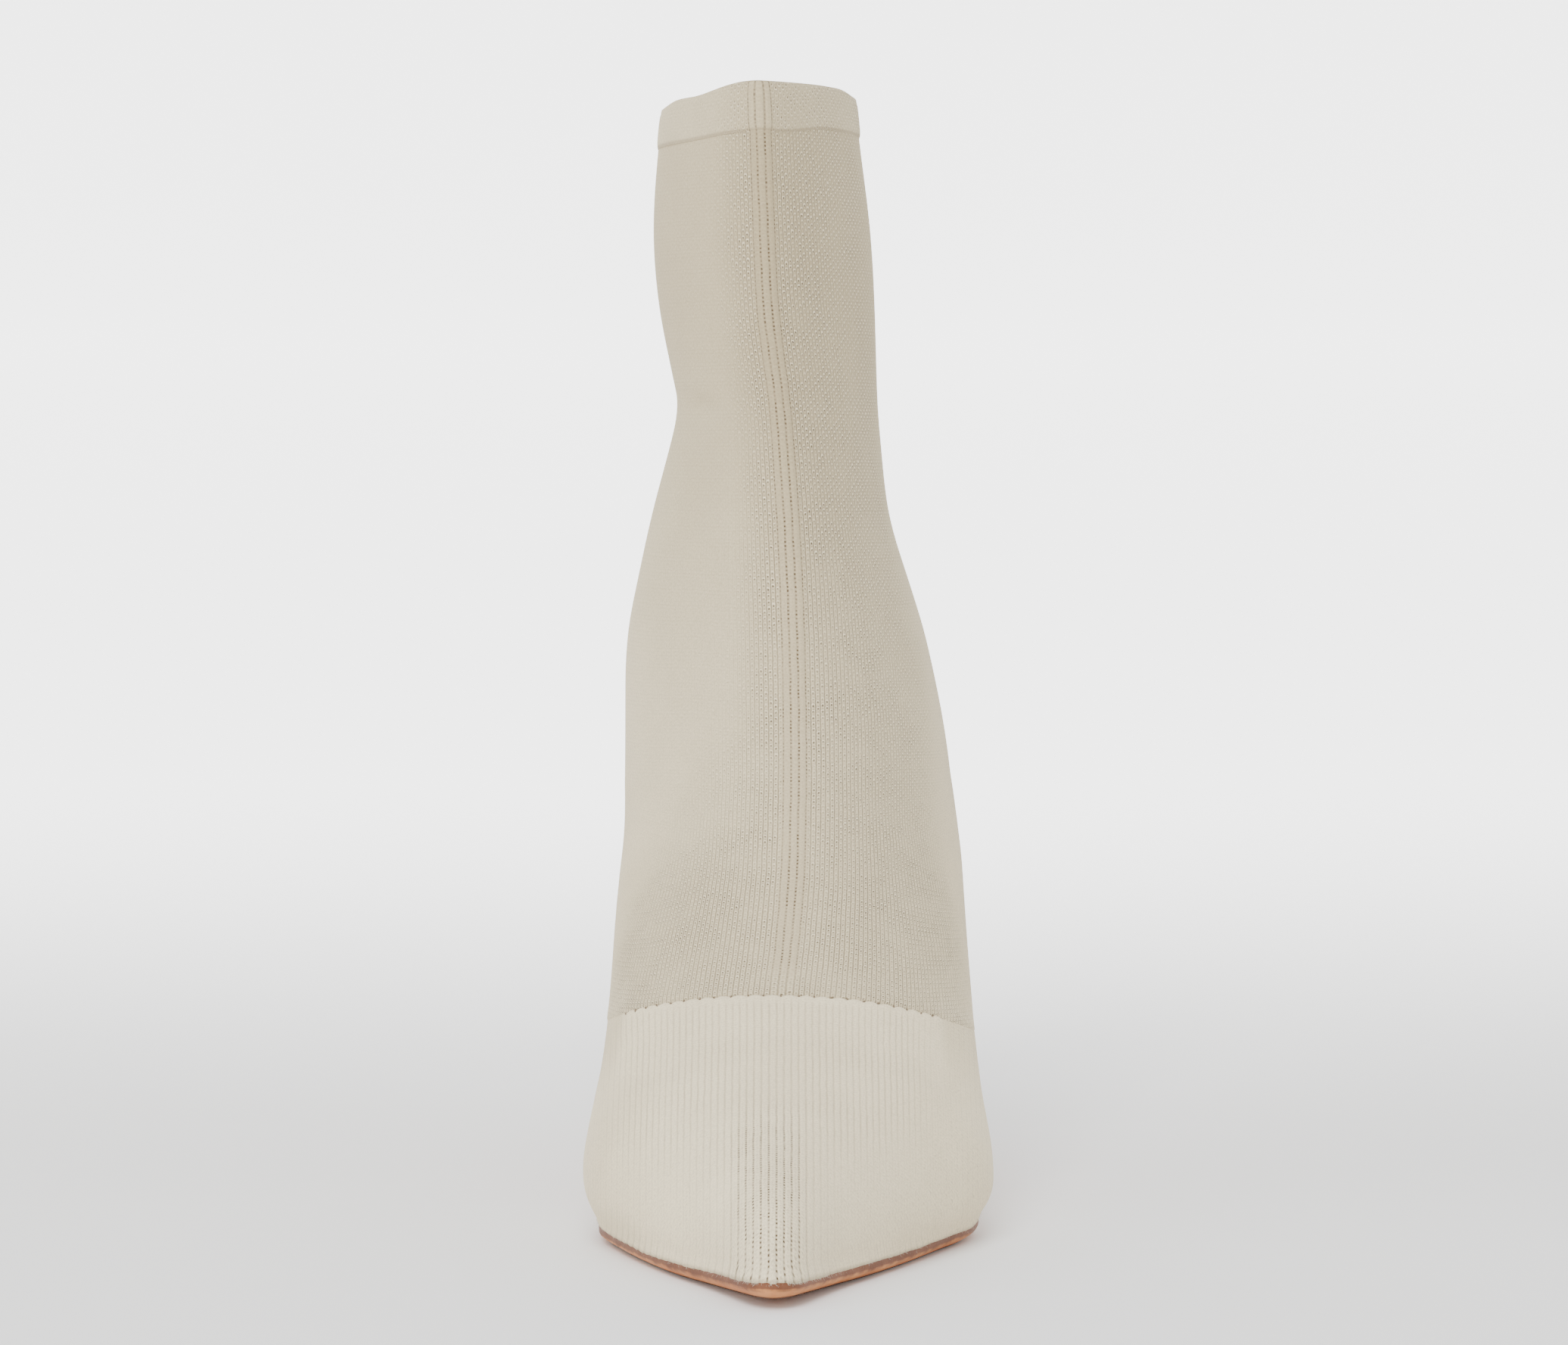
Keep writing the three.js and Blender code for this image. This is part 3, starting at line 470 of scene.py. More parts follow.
def knit_shell(name, outside, inside, turned_from, stride, uv, fields):
    """A closed piece of knit from its outer grid and an inner grid of the same size, of which only every
    so many rows and columns are used. Borders are joined by flat faces; the side borders only from the row
    where the knit turns under."""
    rows, columns = outside.shape[:2]
    outer_number = np.arange(rows * columns).reshape(rows, columns)
    kept_rows = np.unique(np.append(np.arange(0, rows, stride[0]), [turned_from, rows - 1]))
    kept_columns = np.unique(np.append(np.arange(0, columns, stride[1]), [columns // 2, columns - 1]))
    inner_number = rows * columns + np.arange(len(kept_rows) * len(kept_columns)).reshape(len(kept_rows), -1)

    def both(outer, inner):
        """The outer points' values, and then those of the inner points that are used."""
        used = inner[np.ix_(kept_rows, kept_columns)]
        return np.concatenate([outer.reshape(rows * columns, -1), used.reshape(inner_number.size, -1)])

    faces = grid_quads(outer_number).tolist()
    inside_from = len(faces)
    faces += grid_quads(inner_number)[:, ::-1].tolist()
    rim_from = len(faces)
    for k, (a, b) in enumerate(zip(kept_columns[:-1], kept_columns[1:])):
        faces.append([*outer_number[0, a:b + 1], inner_number[0, k + 1], inner_number[0, k]])
        faces.append([*outer_number[-1, a:b + 1][::-1], inner_number[-1, k], inner_number[-1, k + 1]])
    for k, (a, b) in enumerate(zip(kept_rows[:-1], kept_rows[1:])):
        if a >= turned_from:
            faces.append([*outer_number[a:b + 1, 0][::-1], inner_number[k, 0], inner_number[k + 1, 0]])
            faces.append([*outer_number[a:b + 1, -1], inner_number[k + 1, -1], inner_number[k, -1]])
    # The faces inside take the second material.
    number = np.arange(len(faces))
    slots = (number >= inside_from) & (number < rim_from)
    fields = {label: both(values, values) for label, values in fields.items()}
    return finished(name, both(outside, inside), faces, both(uv, uv), fields, slots)


def between_rows(grid, rows, wanted):
    """The grid's values at the wanted row numbers, which may differ from column to column: each lies on a
    straight line between the two nearest rows of its column."""
    place = np.interp(wanted, rows, np.arange(len(rows)))
    k = np.minimum(place.astype(int), len(rows) - 2)
    part = (place - k).reshape(place.shape + (1,) * (grid.ndim - 2))
    column = np.arange(grid.shape[1])[None, :]
    return grid[k, column] * (1 - part) + grid[k + 1, column] * part


def waves(seed, count, *grids):
    """Smooth unevenness from -1 to 1: a sum of sine waves across the grids with lengths from 9 to 60 mm
    and seeded directions and phases."""
    chance = np.random.default_rng(seed)
    total = 0
    for length in chance.uniform(9, 60, count):
        parts = chance.normal(size=len(grids))
        parts /= np.linalg.norm(parts)
        gone = sum(part * grid for part, grid in zip(parts, grids))
        total = total + np.sin(gone * 2 * np.pi / length + chance.uniform(0, 6.28))
    return total / count


def mound(value, place, width):
    """A bell curve: 1 where the value is at the place, and falling off smoothly over the width."""
    return np.exp(-(((value - place) / width) ** 2))


def knit_material(name, deep, pale, shade, hole_shade, depth):
    """Knit from its own UV map, which counts wales across and pairs of courses down. Each wale has a pinhole
    in a loop of yarn once in a pair of courses, staggered from wale to wale. The grooves lie midway between
    wales, with slots in them where they are pierced. The attributes say how open the pinholes are, how deep
    the grooves, how pierced, how pale the yarn, and how much darker it is: the ribbed strip's own tone, and
    painted shade where the knit is stitched down, tucked under the toe part or hangs over the sole. Painted
    shade also darkens the grooves, the partings and, darkest, the pinholes and slots, and a painted highlight
    lightens the upper half of each raised loop. Soft noise makes all of it uneven and the yarn fuzzy."""
    made, tree, shader = blank_material(
        name, Roughness=0.92, Specular_IOR_Level=0.15,
        Sheen_Weight=0.1, Sheen_Roughness=0.5, Sheen_Tint=(1, 0.97, 0.91, 1),
    )
    labels = ("open", "ribbed", "pierced", "light", "tone_and_shade")
    fields = [node(tree, "Attribute", {}, out=2, attribute_name=label) for label in labels]
    is_open, ribbed, pierced, light, tone_and_shade = fields
    parts = node(tree, "SeparateXYZ", {0: node(tree, "UVMap", {}, uv_map="cloth")}).node

    # Where a point lies: how many wales from the middle of its own, how many millimetres above and beside
    # its pinhole, and how far along the groove from the middle of a slot.
    wander = sums(tree, "MULTIPLY_ADD", blotches(tree, 4.0, 1.0), 0.2, -0.1)
    jitter = sums(tree, "MULTIPLY_ADD", blotches(tree, 1.3, 1.0), 0.44, -0.22)
    wale = sums(tree, "ADD", parts.outputs[0], wander)
    course = sums(tree, "ADD", parts.outputs[1], sums(tree, "ADD", wander, jitter))
    chain = sums(tree, "FLOOR", sums(tree, "ADD", wale, 0.5))
    across = sums(tree, "ABSOLUTE", sums(tree, "SUBTRACT", wale, chain))
    every_other = sums(tree, "FLOORED_MODULO", chain, 2.0)
    staggered = sums(tree, "FRACT", sums(tree, "MULTIPLY_ADD", every_other, 0.5, course))
    above = times(tree, sums(tree, "SUBTRACT", staggered, 0.5), COURSE)
    beside = times(tree, across, WALE)
    span = sums(tree, "SQRT", sums(tree, "MULTIPLY_ADD", beside, beside, times(tree, above, above)))
    along = sums(tree, "FRACT", times(tree, course, COURSE / SLOT_PITCH))
    from_slot = sums(tree, "ABSOLUTE", sums(tree, "SUBTRACT", along, 0.5))

    # What is there, each from 0 to 1.
    uneven = sums(tree, "MULTIPLY_ADD", faded(tree, blotches(tree, 2.4, 2.0), 0.32, 0.66), 0.8, 0.45)
    patchy = sums(tree, "MULTIPLY_ADD", faded(tree, blotches(tree, 11.0, 2.0), 0.34, 0.64), 0.35, 0.65)
    strength = times(tree, is_open, patchy, uneven)
    pinhole = times(tree, faded(tree, span, 0.3, 0.08), strength)
    ring = times(tree, faded(tree, span, 0.74, 0.46), faded(tree, span, 0.12, 0.34))
    loop = times(tree, ring, faded(tree, above, 0.4, -0.3), strength)
    between = faded(tree, sums(tree, "ABSOLUTE", above), 0.4, 0.65)
    parting = times(tree, faded(tree, across, 0.16, 0.02), between, strength)
    groove = times(tree, faded(tree, across, 0.28, 0.5), ribbed)
    slot = times(tree, faded(tree, from_slot, 0.34, 0.12), faded(tree, across, 0.34, 0.44), pierced, uneven)
    striped = times(tree, faded(tree, from_slot, 0.2, 0.5), 0.07)
    fuzz = blotches(tree, 0.4, 4.0)
    cloudy = faded(tree, blotches(tree, 30, 2.0), 0.3, 0.7)

    # Painted shade: the shade colour in the grooves and partings, and the darkest colour in the pinholes and
    # slots. Painted highlight: the pale colour on the upper half of each loop. The last layer is the strip's
    # darker tone and painted shade.
    layers = [
        # share, colour laid over the yarn
        (times(tree, cloudy, 0.12), shade),
        (striped, shade),
        (times(tree, loop, 0.66), pale),
        (times(tree, parting, 0.7), shade),
        (times(tree, groove, patchy, 0.8), shade),
        (times(tree, faded(tree, fuzz, 0.6, 0.36), 0.22), shade),
        (times(tree, pinhole, 0.72), hole_shade),
        (times(tree, slot, 0.9), hole_shade),
        (tone_and_shade, shade),
    ]
    yarn = blended(tree, light, deep, pale)
    for share, colour in layers:
        yarn = blended(tree, share, yarn, colour)
    tree.links.new(yarn, shader.inputs["Base Color"])

    reliefs = [
        # what is there, its height as a share of the depth
        (groove, -0.5), (pinhole, -0.4), (slot, -0.3), (loop, 0.45), (striped, -0.8), (parting, -0.2),
        (fuzz, 0.2),
    ]
    height = 0.55
    for there, rise in reliefs:
        height = sums(tree, "MULTIPLY_ADD", there, rise, height)
    bumped(tree, shader, height, depth)
    return made


CREAM_DEEP, CREAM_PALE = (0.42, 0.345, 0.2, 1), (0.93, 0.815, 0.57, 1)
# The shade and darkest colours are painted shade for the grooves, partings, pinholes and slots.
CREAM_SHADE, CREAM_HOLE_SHADE = (0.25, 0.19, 0.115, 1), (0.10, 0.068, 0.038, 1)
cream_knit = knit_material("cream_knit", CREAM_DEEP, CREAM_PALE, CREAM_SHADE, CREAM_HOLE_SHADE, 0.3)
backing = knit_material(
    "backing_knit", (0.5, 0.45, 0.37, 1), (0.6, 0.54, 0.45, 1), (0.34, 0.28, 0.2, 1), CREAM_HOLE_SHADE, 0.15,
)


def wale_count(runs):
    """Wales from the ridge: three wide ribs of STRIP_WALE in the middle, and then wales of WALE."""
    strip = 1.5 * STRIP_WALE
    beyond = np.maximum(np.abs(runs) - strip, 0) / WALE
    return np.sign(runs) * (np.minimum(np.abs(runs), strip) / STRIP_WALE + beyond)


# Where the vamp seam lies: the number of the section at each distance from the ridge.
SEAM_LINE = np.array([
    # run, section
    (-70, 21.60), (-57, 21.80), (-45, 21.96), (-30, 22.13), (-18, 22.27), (-9, 22.38), (0, 22.47),
    (5, 22.47), (15, 22.41), (30, 22.31), (39, 22.22), (48, 22.11), (60, 21.93), (70, 21.76),
])
seam_row = through(SEAM_LINE[:, 0], SEAM_LINE[:, 1])


def stitched(runs):
    """Where the vamp seam is stitched: from just inside the inner outline to the outer flank."""
    return (1 - eased(-runs, 37, 42)) * (1 - eased(runs, 36, 41))


# Rows of the leg piece lie about 1.3 mm apart on the ridge. Its columns are close together over the ribs and
# the front of the leg, and wider apart round the back. It starts inside the hem and ends under the toe part.
FRONT = 28.0
leg_rows = np.unique(np.concatenate([
    np.linspace(0.5, 7, 105), np.linspace(7, CORNER, 52), np.linspace(CORNER, 20, 30),
    np.linspace(20, VAMP_SEAM, 26),
]))


def leg_runs(whole):
    """Distances from the ridge: every 0.35 mm to FRONT, then 78 equal steps to the end of the run."""
    front = np.linspace(0, FRONT, 81)[None, :]
    rest = FRONT + (whole - FRONT) * np.arange(1, 79)[None, :] / 78
    return np.concatenate([front + 0 * whole, rest], axis=1)


source_rows = np.append(leg_rows, np.linspace(VAMP_SEAM, 22.95, 8)[1:])
surface = upper_surface(source_rows, leg_runs)
to_line = seam_row(surface[2][len(leg_rows) - 1]) + 0.07 - VAMP_SEAM
wanted = leg_rows[:, None] + to_line * eased(leg_rows, 17.5, VAMP_SEAM)[:, None]
points, normals, runs, down = (between_rows(grid, source_rows, wanted) for grid in surface)
ahead, level = BACK_PLACE - points[..., 1], points[..., 2]
wale = wale_count(runs)
strip = 1 - eased(np.abs(wale), 1.4, 2.2)
strip *= 1 - eased(ahead, 0.595 * LENGTH, 0.625 * LENGTH)
ribs = strip * (0.1 + 0.22 * np.abs(np.cos(np.pi * wale)) ** 0.6)
near_front = 1 - eased(np.abs(runs), 18, FRONT)
plain_inner = eased(-runs, 3, 17) * (1 - eased(ahead, 88, 124))
wales = 0.07 * np.cos(np.pi * wale) ** 2 * near_front * (1 - 0.85 * plain_inner) * (1 - strip)
whole_run = np.where(runs < 0, -runs[:, :1], runs[:, -1:])
from_back = np.clip(1 - np.abs(runs) / whole_run, 0, 1)
away = eased(from_back, 0, 0.2)
inner_flank = eased(-runs, 14, 26) * (1 - 0.85 * eased(-runs, 28, 42)) * away
leaning = level + 0.05 * runs
ankle_fold = 0.3 * mound(leaning, ROLL_LEVEL, 3.4) - 0.55 * mound(leaning, FOLD_LEVEL, 2.4)
hollow = -0.5 * mound(level, HOLLOW_LEVEL, 13)
on_flanks = eased(np.abs(runs), 4, 14) * (1 - eased(np.abs(runs), 34, 50))
instep_crease = -0.25 * mound(ahead + 0.35 * np.abs(runs), CREASE_AHEAD, 3.2) * on_flanks
slack = 0.2 * waves(7, 14, points[..., 0], points[..., 1], points[..., 2]) * away
to_seam = down[-1:] - down
tucked = 0.1 * mound(to_seam, 2.8, 1.1) - 0.5 * (1 - eased(to_seam, 0.3, 1.6))
relief = ribs + wales + inner_flank * (ankle_fold + hollow) + instep_crease + slack + tucked
outside = points + normals * relief[..., None]
inside = points - normals * WALL
textured_to = 52 + 6 * eased(ahead, 90, 130)
outer_fade = 1 - 0.85 * eased(np.abs(runs), textured_to - 16, textured_to + 4)
textured = (1 - 0.85 * plain_inner) * outer_fade
beyond_seam = 0.16 * (1 - stitched(runs)) * (1 - eased(to_seam, 2, 16))
leg_fields = {
    "open": np.clip(textured * (1 - 0.85 * strip), 0, 1),
    "ribbed": np.clip(0.95 * textured * (1 - 0.62 * strip), 0, 1),
    "pierced": strip * (1 - 0.2 * eased(np.abs(wale), 0.8, 1.1)),
    "light": np.clip(0.13 + 0.12 * plain_inner + 0.32 * eased(down, 40, 150) + beyond_seam, 0, 1),
    # The strip's own darker tone, and painted shade on the leg part's last mm where it tucks under the toe
    # part at the stitched seam.
    "tone_and_shade": 0.22 * strip + 0.45 * stitched(runs) * (1 - eased(to_seam, 0.3, 1.6)),
}
leg_uv = np.stack([wale, down / COURSE], axis=-1)
turned_from = int(np.searchsorted(leg_rows, CORNER))
leg_piece = knit_shell("knit_leg", outside, inside, turned_from, (2, 4), leg_uv, leg_fields)
leg_piece.data.materials.append(cream_knit)
leg_piece.data.materials.append(backing)
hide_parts("upper")
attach(leg_piece, "root")

# The toe part: the same yarn knitted finer and paler, stretched smooth over the toe stiffener, with ribs that
# run straight along the foot. Its scalloped edge lies over the leg part's at the vamp seam, and its lower
# edge, cut after lasting, hangs slightly and unevenly over the edge of the outsole.
TOE_WALE = 1.55
RIB_MIDDLE = -4.0
SCALLOP = 3.5


def toe_runs(whole):
    """150 equal steps from the ridge to the feather line."""
    return whole * np.linspace(0, 1, 151)[None, :]


def mirrored(values):
    """The same values, but equal on both sides in the last row, where the two sides meet at the tip."""
    values = values.copy()
    values[-1] = (values[-1] + values[-1, ::-1]) / 2
    return values


toe_rows = np.unique(np.concatenate([
    np.linspace(VAMP_SEAM, 23, 14), np.linspace(23, 29, 84), np.linspace(29, TOE - 0.3, 42),
    np.linspace(TOE - 0.3, TOE, 12),
]))
lead_rows = np.linspace(21.6, VAMP_SEAM, 30)[:-1]
source_rows = np.append(lead_rows, toe_rows)
surface = upper_surface(source_rows, toe_runs)
to_line = seam_row(surface[2][len(lead_rows)]) - VAMP_SEAM
wanted = toe_rows[:, None] + to_line * (1 - eased(toe_rows, VAMP_SEAM, 25.5))[:, None]
points, normals, runs, down = (between_rows(grid, source_rows, wanted) for grid in surface)
down = down - down[0]
ahead = BACK_PLACE - points[..., 1]
whole_run = np.maximum(np.where(runs < 0, -runs[:, :1], runs[:, -1:]), 1e-6)
to_edge = whole_run - np.abs(runs)
x, y, level = (points[..., k] for k in range(3))
off_centre = np.abs(x - RIB_MIDDLE)
wale = (x - RIB_MIDDLE) * (1 + 0.0048 * off_centre) / TOE_WALE + 0.5
rib_reach = 34 - 22 * eased(ahead, 0.72 * LENGTH, 0.94 * LENGTH)
middle_ribs = (1 - eased(off_centre, rib_reach - 8, rib_reach + 5)) * eased(down, 0.8, 4)
ribs = 0.12 * np.cos(np.pi * wale) ** 2 * middle_ribs
sewn = stitched(runs)
lip = sewn * (0.35 * eased(down, 0, 0.8) - 0.3 * eased(down, 2.5, 14)) - 0.05 + 0.02 * (1 - sewn)
scallops = sewn * np.abs(np.sin(np.pi * runs / SCALLOP))
puckers = 0.22 * scallops * mound(down, 1.2, 1.5)
ragged = waves(21, 10, 1.2 * x, 1.2 * y) + 0.3 * waves(22, 10, 5 * x, 5 * y)
over_edge = 0.75 * mound(to_edge, 0, 1.8) * (0.8 + 0.2 * ragged) * eased(down, 2, 14)
slack = 0.12 * waves(11, 12, x, y, level)
relief = mirrored(ribs + lip + puckers + over_edge + slack)
forward = np.gradient(points, axis=0)
forward /= np.maximum(np.linalg.norm(forward, axis=2, keepdims=True), 1e-9)
bulge = 0.45 * sewn * np.abs(np.sin(np.pi * runs / SCALLOP)) ** 0.8 * (1 - eased(down, 0.2, 2.5))
tail = 0.6 * mound(to_edge, 0, 1.1) * (0.7 + 0.5 * ragged) * eased(down, 2, 14)
outside = points + normals * relief[..., None] - forward * bulge[..., None]
outside[..., 2] -= mirrored(tail)
inside = points - normals * np.minimum(WALL, 0.25 * whole_run + 0.05)[..., None]
tip_columns = (1 - eased(off_centre, 5.5, 8.5)) * eased(ahead, 0.77 * LENGTH, 0.9 * LENGTH)
toe_fields = {
    "open": mirrored(0.04 + 0.3 * tip_columns + 0.22 * eased(off_centre, rib_reach - 6, rib_reach + 4)),
    "ribbed": mirrored(0.04 + 0.44 * middle_ribs),
    "pierced": mirrored(0.9 * tip_columns),
    "light": mirrored(0.88 - 0.26 * (1 - sewn) * (1 - eased(down, 2, 36)) - 0.1 * eased(off_centre, 20, 36)),
    # Painted shadow along the lower edge, where the knit hangs over the sole.
    "tone_and_shade": mirrored(0.55 * (1 - eased(to_edge, 0.1, 1.0)) * eased(down, 2, 14)),
}
toe_uv = np.stack([wale, 0.78 * (ahead - level) / COURSE], axis=-1)
toe_piece = knit_shell("knit_toe", outside, inside, 0, (2, 5), toe_uv, toe_fields)
toe_piece.data.materials.append(cream_knit)
toe_piece.data.materials.append(backing)
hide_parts("upper")
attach(toe_piece, "root")

# The vamp stitches: a short dark drop in each notch of the toe part's scallops, pulled down into the knit.
# Its colour is partly the darker thread of a tight loop and partly painted shade in the hole where the stitch
# pulls the knit in.
thread_and_shade, tree, shader = blank_material("seam_thread_and_shade", Roughness=0.85, Specular_IOR_Level=0.2)
twist = blotches(tree, 0.3, 3.0)
tint = blended(tree, faded(tree, twist, 0.35, 0.65), (0.13, 0.095, 0.06, 1), (0.26, 0.2, 0.135, 1))
tree.links.new(tint, shader.inputs["Base Color"])
bumped(tree, shader, twist, 0.08)


def small_tubes(name, grid, capped):
    """One mesh of many little tubes, from a grid of tube, ring and place round the ring. Their ends are
    closed by flat faces if they are capped, and are drawn to a point otherwise."""
    number = np.arange(grid.size // 3).reshape(grid.shape[:3])
    turned = np.roll(number, -1, axis=2)
    corners = [number[:, :-1], turned[:, :-1], turned[:, 1:], number[:, 1:]]
    faces = np.stack(corners, axis=-1).reshape(-1, 4).tolist()
    if capped:
        faces += number[:, 0, ::-1].tolist() + number[:, -1].tolist()
    return finished(name, grid, faces, np.zeros((number.size, 2)), {})


def drops(centres, lengthways, sideways, upright, sizes):
    """One drop at each centre: six rings of eight points round its length, widest a third of the way along,
    and drawn to a point at both ends."""
    t = np.linspace(0, 1, 6)[None, :, None, None]
    angle = np.linspace(0, 2 * np.pi, 8, endpoint=False)[None, None, :, None]
    girth = np.sin(np.pi * t ** 0.7)
    length, width, height = (size[:, None, None, None] for size in sizes)
    axes = [axis[:, None, None, :] for axis in (lengthways, sideways, upright)]
    grid = centres[:, None, None, :] + axes[0] * length * (t - 0.4)
    return grid + axes[1] * width / 2 * girth * np.cos(angle) + axes[2] * height / 2 * girth * np.sin(angle)


notch = np.arange(-11, 11) * SCALLOP
chance = np.random.default_rng(3)
row = int(np.argmax(down[:, down.shape[1] // 2] > 0.25))
columns = np.array([np.argmin(np.abs(runs[row] - place)) for place in notch])
upright, onward = normals[row, columns], forward[row, columns]
centres = outside[row, columns] + upright * 0.04 - onward * chance.uniform(0.1, 0.5, (len(notch), 1))
lean = chance.normal(0, 0.4, (len(notch), 1))
sideways = np.cross(upright, onward)
sizes = [chance.uniform(least, most, len(notch)) for least, most in [(0.8, 1.3), (0.32, 0.5), (0.35, 0.45)]]
stitch_grid = drops(centres, onward + sideways * lean, sideways, upright, sizes)
stitches = small_tubes("vamp_stitches", stitch_grid, False)
stitches.data.materials.append(thread_and_shade)
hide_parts("upper")
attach(stitches, "root")

# Loose fibre along the cut lower edge of the toe part: short, fine, bent hairs of the same yarn.
fibre_yarn, tree, shader = blank_material("fibre_yarn", Roughness=0.9, Specular_IOR_Level=0.15)
tint = blended(tree, faded(tree, blotches(tree, 1.5), 0.3, 0.7), (0.5, 0.44, 0.35, 1), (0.72, 0.66, 0.56, 1))
tree.links.new(tint, shader.inputs["Base Color"])
fibre_count = 900
hair_row = chance.integers(30, len(toe_rows) - 1, fibre_count)
hair_side = chance.integers(0, 2, fibre_count)
from_inner, from_outer = (chance.integers(0, 4, fibre_count) for _ in range(2))
hair_column = np.where(hair_side == 0, from_inner, outside.shape[1] - 1 - from_outer)
hair_root = outside[hair_row, hair_column] - normals[hair_row, hair_column] * 0.1
hair_out = normals[hair_row, hair_column] + (0, 0, -1.3) + chance.normal(0, 0.55, (fibre_count, 3))
hair_out /= np.linalg.norm(hair_out, axis=1, keepdims=True)
hair_bend = chance.normal(0, 0.35, (fibre_count, 3))
hair_length = chance.uniform(0.25, 0.6, (fibre_count, 1))
across = np.cross(hair_out, (0.3, 0.8, 0.5))
across /= np.linalg.norm(across, axis=1, keepdims=True)
over = np.cross(hair_out, across)
root, reach, out, bend, across, over = (
    values[:, None, None] for values in (hair_root, hair_length, hair_out, hair_bend, across, over)
)
t = np.array([0, 0.5, 1.0])[None, :, None, None]
angle = np.arange(3)[None, None, :, None] * 2 * np.pi / 3
thickness = 0.035 * (1 - 0.75 * t)
hairs = root + reach * (out * t + bend * t * t) + thickness * (across * np.cos(angle) + over * np.sin(angle))
fibres = small_tubes("edge_fibres", hairs, True)
fibres.data.materials.append(fibre_yarn)
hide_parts("upper")
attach(fibres, "root")

# The collar hem: the knit's top edge is turned in over itself and stitched down, so it stands out as a
# doubled band that is deepest at the front of the leg and has a soft rolled top.
HEM_HEIGHT = 10.6
HEM_STEP = 0.35
hem_rows = np.linspace(0, 2, 61)
points, normals, runs, down = upper_surface(hem_rows, lambda whole: whole * np.linspace(0, 1, 241)[None, :])
columns = points.shape[1]
around = np.abs(runs[0]) / np.abs(runs[0, -1])
inner, outer = eased(-runs[0], 2, 26), eased(runs[0], 4, 24)
back = eased(around, 0.55, 1)
droop = 0.8 + (2.1 * inner - 0.2 * outer + eased(np.abs(runs[0]), 33, 47)) * (1 - back)
hem_line = HEM_HEIGHT + (0.5 * inner - 1.2 * outer) * (1 - back) - 1.0 * back
depth = hem_line - droop
hem_profile = np.array([
    # share of the hem's depth down from the rim, distance below it, distance out from the surface
    (1.0, 0.0, -0.2), (1.0, -0.05, 0.12), (1.0, -0.3, 0.25), (1.0, -0.7, HEM_STEP),
    (0.86, 0.0, HEM_STEP + 0.05), (0.7, 0.0, HEM_STEP + 0.08), (0.55, 0.0, HEM_STEP + 0.08),
    (0.4, 0.0, HEM_STEP + 0.06), (0.25, 0.0, HEM_STEP),
    (0.0, 2.2, HEM_STEP - 0.02), (0.0, 1.3, HEM_STEP - 0.14), (0.0, 0.6, 0.16), (0.0, 0.18, -0.2),
    (0.0, 0.0, -0.65), (0.0, 0.05, -1.15), (0.0, 0.35, -1.6), (0.0, 0.9, -2.0), (0.0, 1.7, -2.25),
    (0.3, 0.0, -2.3), (0.6, 0.0, -2.3), (0.9, 0.0, -2.25), (1.0, 0.3, -2.1), (1.0, 0.6, -1.9),
    (1.0, 0.3, -1.5),
])
below = hem_profile[:, :1] * depth[None, :] + hem_profile[:, 1:2] + droop[None, :]
place = below / down[1][None, :]
k = np.maximum(place.astype(int), 0)
part = (place - k)[..., None]
column = np.arange(columns)[None, :]
base = points[k, column] * (1 - part) + points[k + 1, column] * part
facing = normals[k, column] * (1 - part) + normals[k + 1, column] * part
wale = wale_count(runs[0])
strip = 1 - eased(np.abs(wale), 1.4, 2.2)
seen = eased(hem_profile[:, 2:3], 0.1, 0.5)
ribs = strip * (0.12 + 0.2 * np.abs(np.cos(np.pi * wale)) ** 0.6)
ribs = ribs + 0.05 * np.cos(np.pi * wale) ** 2 * (1 - eased(np.abs(runs[0]), 18, FRONT))
loose = 0.16 * waves(5, 8, runs[0]) * eased(1 - around, 0, 0.1)
band = np.swapaxes(base + facing * (hem_profile[:, 2:3] + seen * (ribs + loose)[None, :])[..., None], 0, 1)
hem_uv = np.stack([wale[:, None] + 0 * band[..., 0], lengths(band, 1) / COURSE], axis=-1)
outer_hem = 1 - 0.75 * eased(-runs[0], 3, 17)
hem_fields = {
    "open": 0.85 * outer_hem * (1 - 0.85 * strip),
    "ribbed": 0.35 * outer_hem + 0.35 * strip,
    "pierced": 0.6 * strip,
    "light": 0.45 - 0.2 * outer_hem,
}
hem_fields = {label: values[:, None] + 0 * band[..., 0] for label, values in hem_fields.items()}
# Painted shade on the underside of the hem's lower edge, its first three profile points.
shade_under_hem_edge = np.where(np.arange(len(hem_profile)) < 3, 0.5, 0.0)
hem_fields["tone_and_shade"] = shade_under_hem_edge[None, :] + 0 * band[..., 0]
hem = loop_mesh("collar_hem", band, [], hem_uv, hem_fields)
hem.data.materials.append(cream_knit)
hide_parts("upper")
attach(hem, "root")

# The outsole: thin tan leather, cut a little wider than the feather line and bevelled underneath. Its edge is
# painted darker brown on top, as painted shade under the knit's overhang, and brighter tan lower down, as a
# painted highlight on its rounding, with a thin dark line where the bevel meets the tread. It is cemented
# over the turned-in knit, and runs from the front of the heel through the arch to the toe.
BREAST = 0.183 * LENGTH
SOLE_EDGE = 0.6
SOLE_BEVEL = 3
SOLE_THICKNESS = 3.5
WAIST_THICKNESS = 2.6
sole_leather, tree, shader = blank_material("sole_leather", Roughness=0.5, Specular_IOR_Level=0.18)
zone = node(tree, "SeparateXYZ", {0: node(tree, "UVMap", {}, uv_map="cloth")}, out=1)
ragged_zone = sums(tree, "ADD", zone, sums(tree, "MULTIPLY_ADD", blotches(tree, 3.0), 0.9, -0.45))
pores = blotches(tree, 0.5, 4.0)
mottled = faded(tree, blotches(tree, 7.0), 0.35, 0.68)
